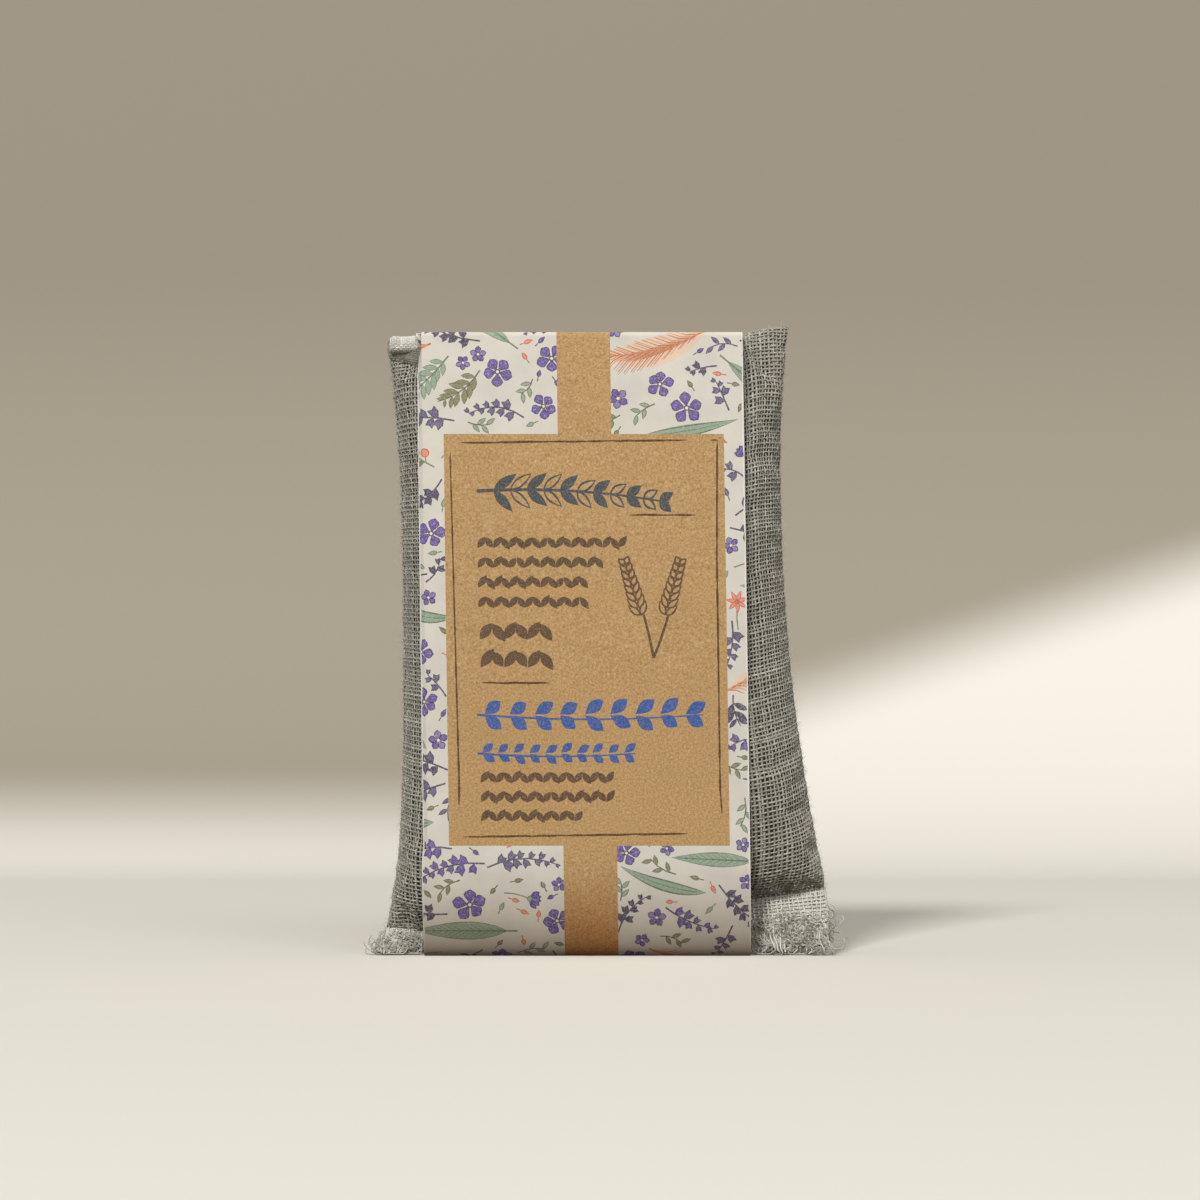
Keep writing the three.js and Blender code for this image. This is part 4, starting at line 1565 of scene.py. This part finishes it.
def addFibres(forms, s):
    rng = np.random.default_rng(s["seed"])
    parts = []
    for form in forms.values():
        for centres, out, width in (looseHairs(form, rng, s), looseCurls(form, rng, s)):
            points, faces = tubes(centres, out, width, width)
            tone = np.repeat(rng.normal(s["tone"], s["toneSpread"], len(centres)), centres.shape[1] * 3)
            parts.append((points, faces, tone))
    addThreadPiece("loose_fibres", parts + foldedEarParts(forms["front"], weaveSettings, earSettings))


for name, form in bag.items():
    addPanel(name, form, weaveSettings)
addFibres(bag, fibreSettings)
print("gauze is woven")


# Filling: dried flowers packed to the gauze, their outermost buds one by one

fillSettings = {
    "buds": 1500,
    "length": 2.1,
    "width": 1.0,
    "sunk": 0.1,
    "underTone": 0.12,  # the mass below the single buds
    "seed": 9,
}


def addFlowerMaterial():
    surface = {"Roughness": 0.95, "Specular IOR Level": 0.15}
    material, tree, shader, place = newMaterial("dried lavender flowers", surface)
    tone = addNode(tree, "Attribute", attribute_name="tone").outputs["Fac"]
    colour = addNode(tree, "ValToRGB", {0: tone})
    setRamp(colour, (0.1, "#6B6357"), (0.4, "#7E7686"), (0.65, "#8B8470"), (0.9, "#9C92A4"))
    spots = addNode(tree, "TexNoise", {"Vector": place}, {"Scale": perMillimetre(0.5), "Detail": 3})
    dim = addNode(tree, "MapRange", {"Value": spots.outputs[0]}, {"To Min": 0.7, "To Max": 1.2})
    mixed = addNode(tree, "VectorMath", {0: colour.outputs[0], 1: dim.outputs[0]}, operation="MULTIPLY")
    tree.links.new(mixed.outputs[0], shader.inputs["Base Color"])
    ribs = addNode(tree, "TexNoise", {"Vector": place}, {"Scale": perMillimetre(0.35), "Detail": 2})
    bump = addNode(tree, "Bump", {"Height": ribs.outputs[0]}, {"Strength": 0.7, "Distance": 0.15 * mm})
    tree.links.new(bump.outputs[0], shader.inputs["Normal"])
    return material


def budShape(s):
    bpy.ops.mesh.primitive_ico_sphere_add(subdivisions=1, radius=0.5)
    bud = bpy.context.object
    corners = np.array([v.co for v in bud.data.vertices])
    faces = np.array([p.vertices[:] for p in bud.data.polygons])
    bpy.data.objects.remove(bud)
    taper = 1 - 0.45 * corners[:, :1] ** 2 - 0.35 * corners[:, :1]
    taper = np.hstack([np.ones_like(taper), taper, taper])
    return corners * (s["length"], s["width"], s["width"]) * taper, faces


def addFilling(sides, s):
    rng = np.random.default_rng(s["seed"])
    points, faces, _, _ = closedPillow(sides["front"]["fill"], sides["back"]["fill"])
    triangles = np.concatenate([faces[:, :3], faces[:, [0, 2, 3]]])
    parts = [(points, triangles, np.full(len(points), s["underTone"]))]
    corners, budFaces = budShape(s)
    for form in sides.values():
        column, row = rng.uniform(0.03, 0.97, s["buds"]), rng.uniform(0.02, 0.98, s["buds"])
        at = sampled(form["fill"], column, row)
        out = sampled(faceNormals(form["fill"], form["side"]), column, row)
        turn = rng.uniform(0, 2 * math.pi, s["buds"])
        along = np.cross(out, np.stack([np.cos(turn), np.sin(turn), np.sin(3 * turn)], 1))
        along = along / np.linalg.norm(along, axis=1)[:, None] + out * rng.uniform(-0.3, 0.3, (s["buds"], 1))
        along /= np.linalg.norm(along, axis=1)[:, None]
        across = np.cross(out, along)
        across /= np.linalg.norm(across, axis=1)[:, None]
        size = rng.uniform(0.75, 1.2, (s["buds"], 1, 1))
        axes = np.stack([along, across, np.cross(along, across)], axis=1)
        buds = at[:, None] - out[:, None] * s["sunk"] + (corners[None] * size) @ axes
        numbers = (np.arange(s["buds"]) * len(corners))[:, None, None] + budFaces[None]
        tone = np.repeat(rng.uniform(0, 1, s["buds"]), len(corners))
        parts.append((buds.reshape(-1, 3), numbers.reshape(-1, 3), tone))
    points, faces, tones = joined(parts)
    filling = addMesh("dried_flowers", points, faces, [addFlowerMaterial()])
    addValues(filling, "tone", tones)
    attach(filling, "bag")
    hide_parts("lavender_filling")


addFilling(bag, fillSettings)
print("filling is in")


# Sewing thread and glue

threadSettings = {
    "pitch": 3.6,
    "drop": 1.4,  # below the seam line
    "reach": 0.8,
    "sharpness": 5,  # of the turn from one side to the other
    "strand": 0.13,
    "apart": 0.8,  # the strands' middles, as a share of their half width
    "twist": 1.1,
    "step": 0.24,
}


def addThreadMaterial():  # a soft low gloss
    surface = {"Roughness": 0.75, "Specular IOR Level": 0.3}
    material, tree, shader, place = newMaterial("cotton sewing thread, two-ply", surface)
    fibre = addNode(tree, "TexNoise", {"Vector": place}, {"Scale": perMillimetre(0.2), "Detail": 3})
    colour = addNode(tree, "ValToRGB", {0: fibre.outputs[0]})
    setRamp(colour, (0.3, "#B4B1A4"), (0.7, "#DAD7CC"))
    tree.links.new(colour.outputs[0], shader.inputs["Base Color"])
    bump = addNode(tree, "Bump", {"Height": fibre.outputs[0]}, {"Strength": 0.4, "Distance": 0.04 * mm})
    tree.links.new(bump.outputs[0], shader.inputs["Normal"])
    return material


def addGlueMaterial():  # a pale film, a little glossy
    material, tree, shader, place = newMaterial("dried paste glue", {"Roughness": 0.4})
    ripple = addNode(tree, "TexNoise", {"Vector": place}, {"Scale": perMillimetre(2.5), "Detail": 3})
    colour = addNode(tree, "ValToRGB", {0: ripple.outputs[0]})
    setRamp(colour, (0.3, "#DDD2AE"), (0.7, "#F0E9D2"))
    tree.links.new(colour.outputs[0], shader.inputs["Base Color"])
    bump = addNode(tree, "Bump", {"Height": ripple.outputs[0]}, {"Strength": 0.3, "Distance": 0.1 * mm})
    tree.links.new(bump.outputs[0], shader.inputs["Normal"])
    return material


def addClosingStitches(material, s):
    across = np.linspace(-1, 1, 400)
    x, z = seamPlane(across, 0 * across, 0)
    length = np.concatenate([[0], np.cumsum(np.hypot(np.diff(x), np.diff(z)))])
    at = np.arange(s["pitch"] / 2, length[-1] - s["pitch"] / 2, s["step"])
    depth = s["reach"] * np.tanh(s["sharpness"] * np.sin(np.pi * at / s["pitch"]))
    line = np.stack([np.interp(at, length, x), -depth, np.interp(at, length, z) - s["drop"]], axis=-1)
    strands = []
    for turn in (0, math.pi):
        twist = 2 * math.pi * at / s["twist"] + turn
        around = np.stack([0 * at, np.cos(twist), np.sin(twist)], axis=-1)
        strands.append(line + around * s["strand"] * s["apart"])
    centres = np.array(strands)
    up = np.broadcast_to(np.array([0, 0, 1.0]), centres.shape)
    width = np.full(centres.shape[:2], s["strand"])
    points, faces = tubes(centres, up, width, width)
    stitches = addMesh("closing_stitches", points, faces, [material])
    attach(stitches, "bag")
    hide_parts("closing_seam_thread")


def dressNode(name, material):
    for slot in bpy.data.objects[name].material_slots:
        slot.material = material


threadMaterial = addThreadMaterial()
addClosingStitches(threadMaterial, threadSettings)
dressNode("turned_seam_thread", threadMaterial)
dressNode("band_glue", addGlueMaterial())
print("seams are sewn")

lightBack(stageSettings)
print("the back is lit")
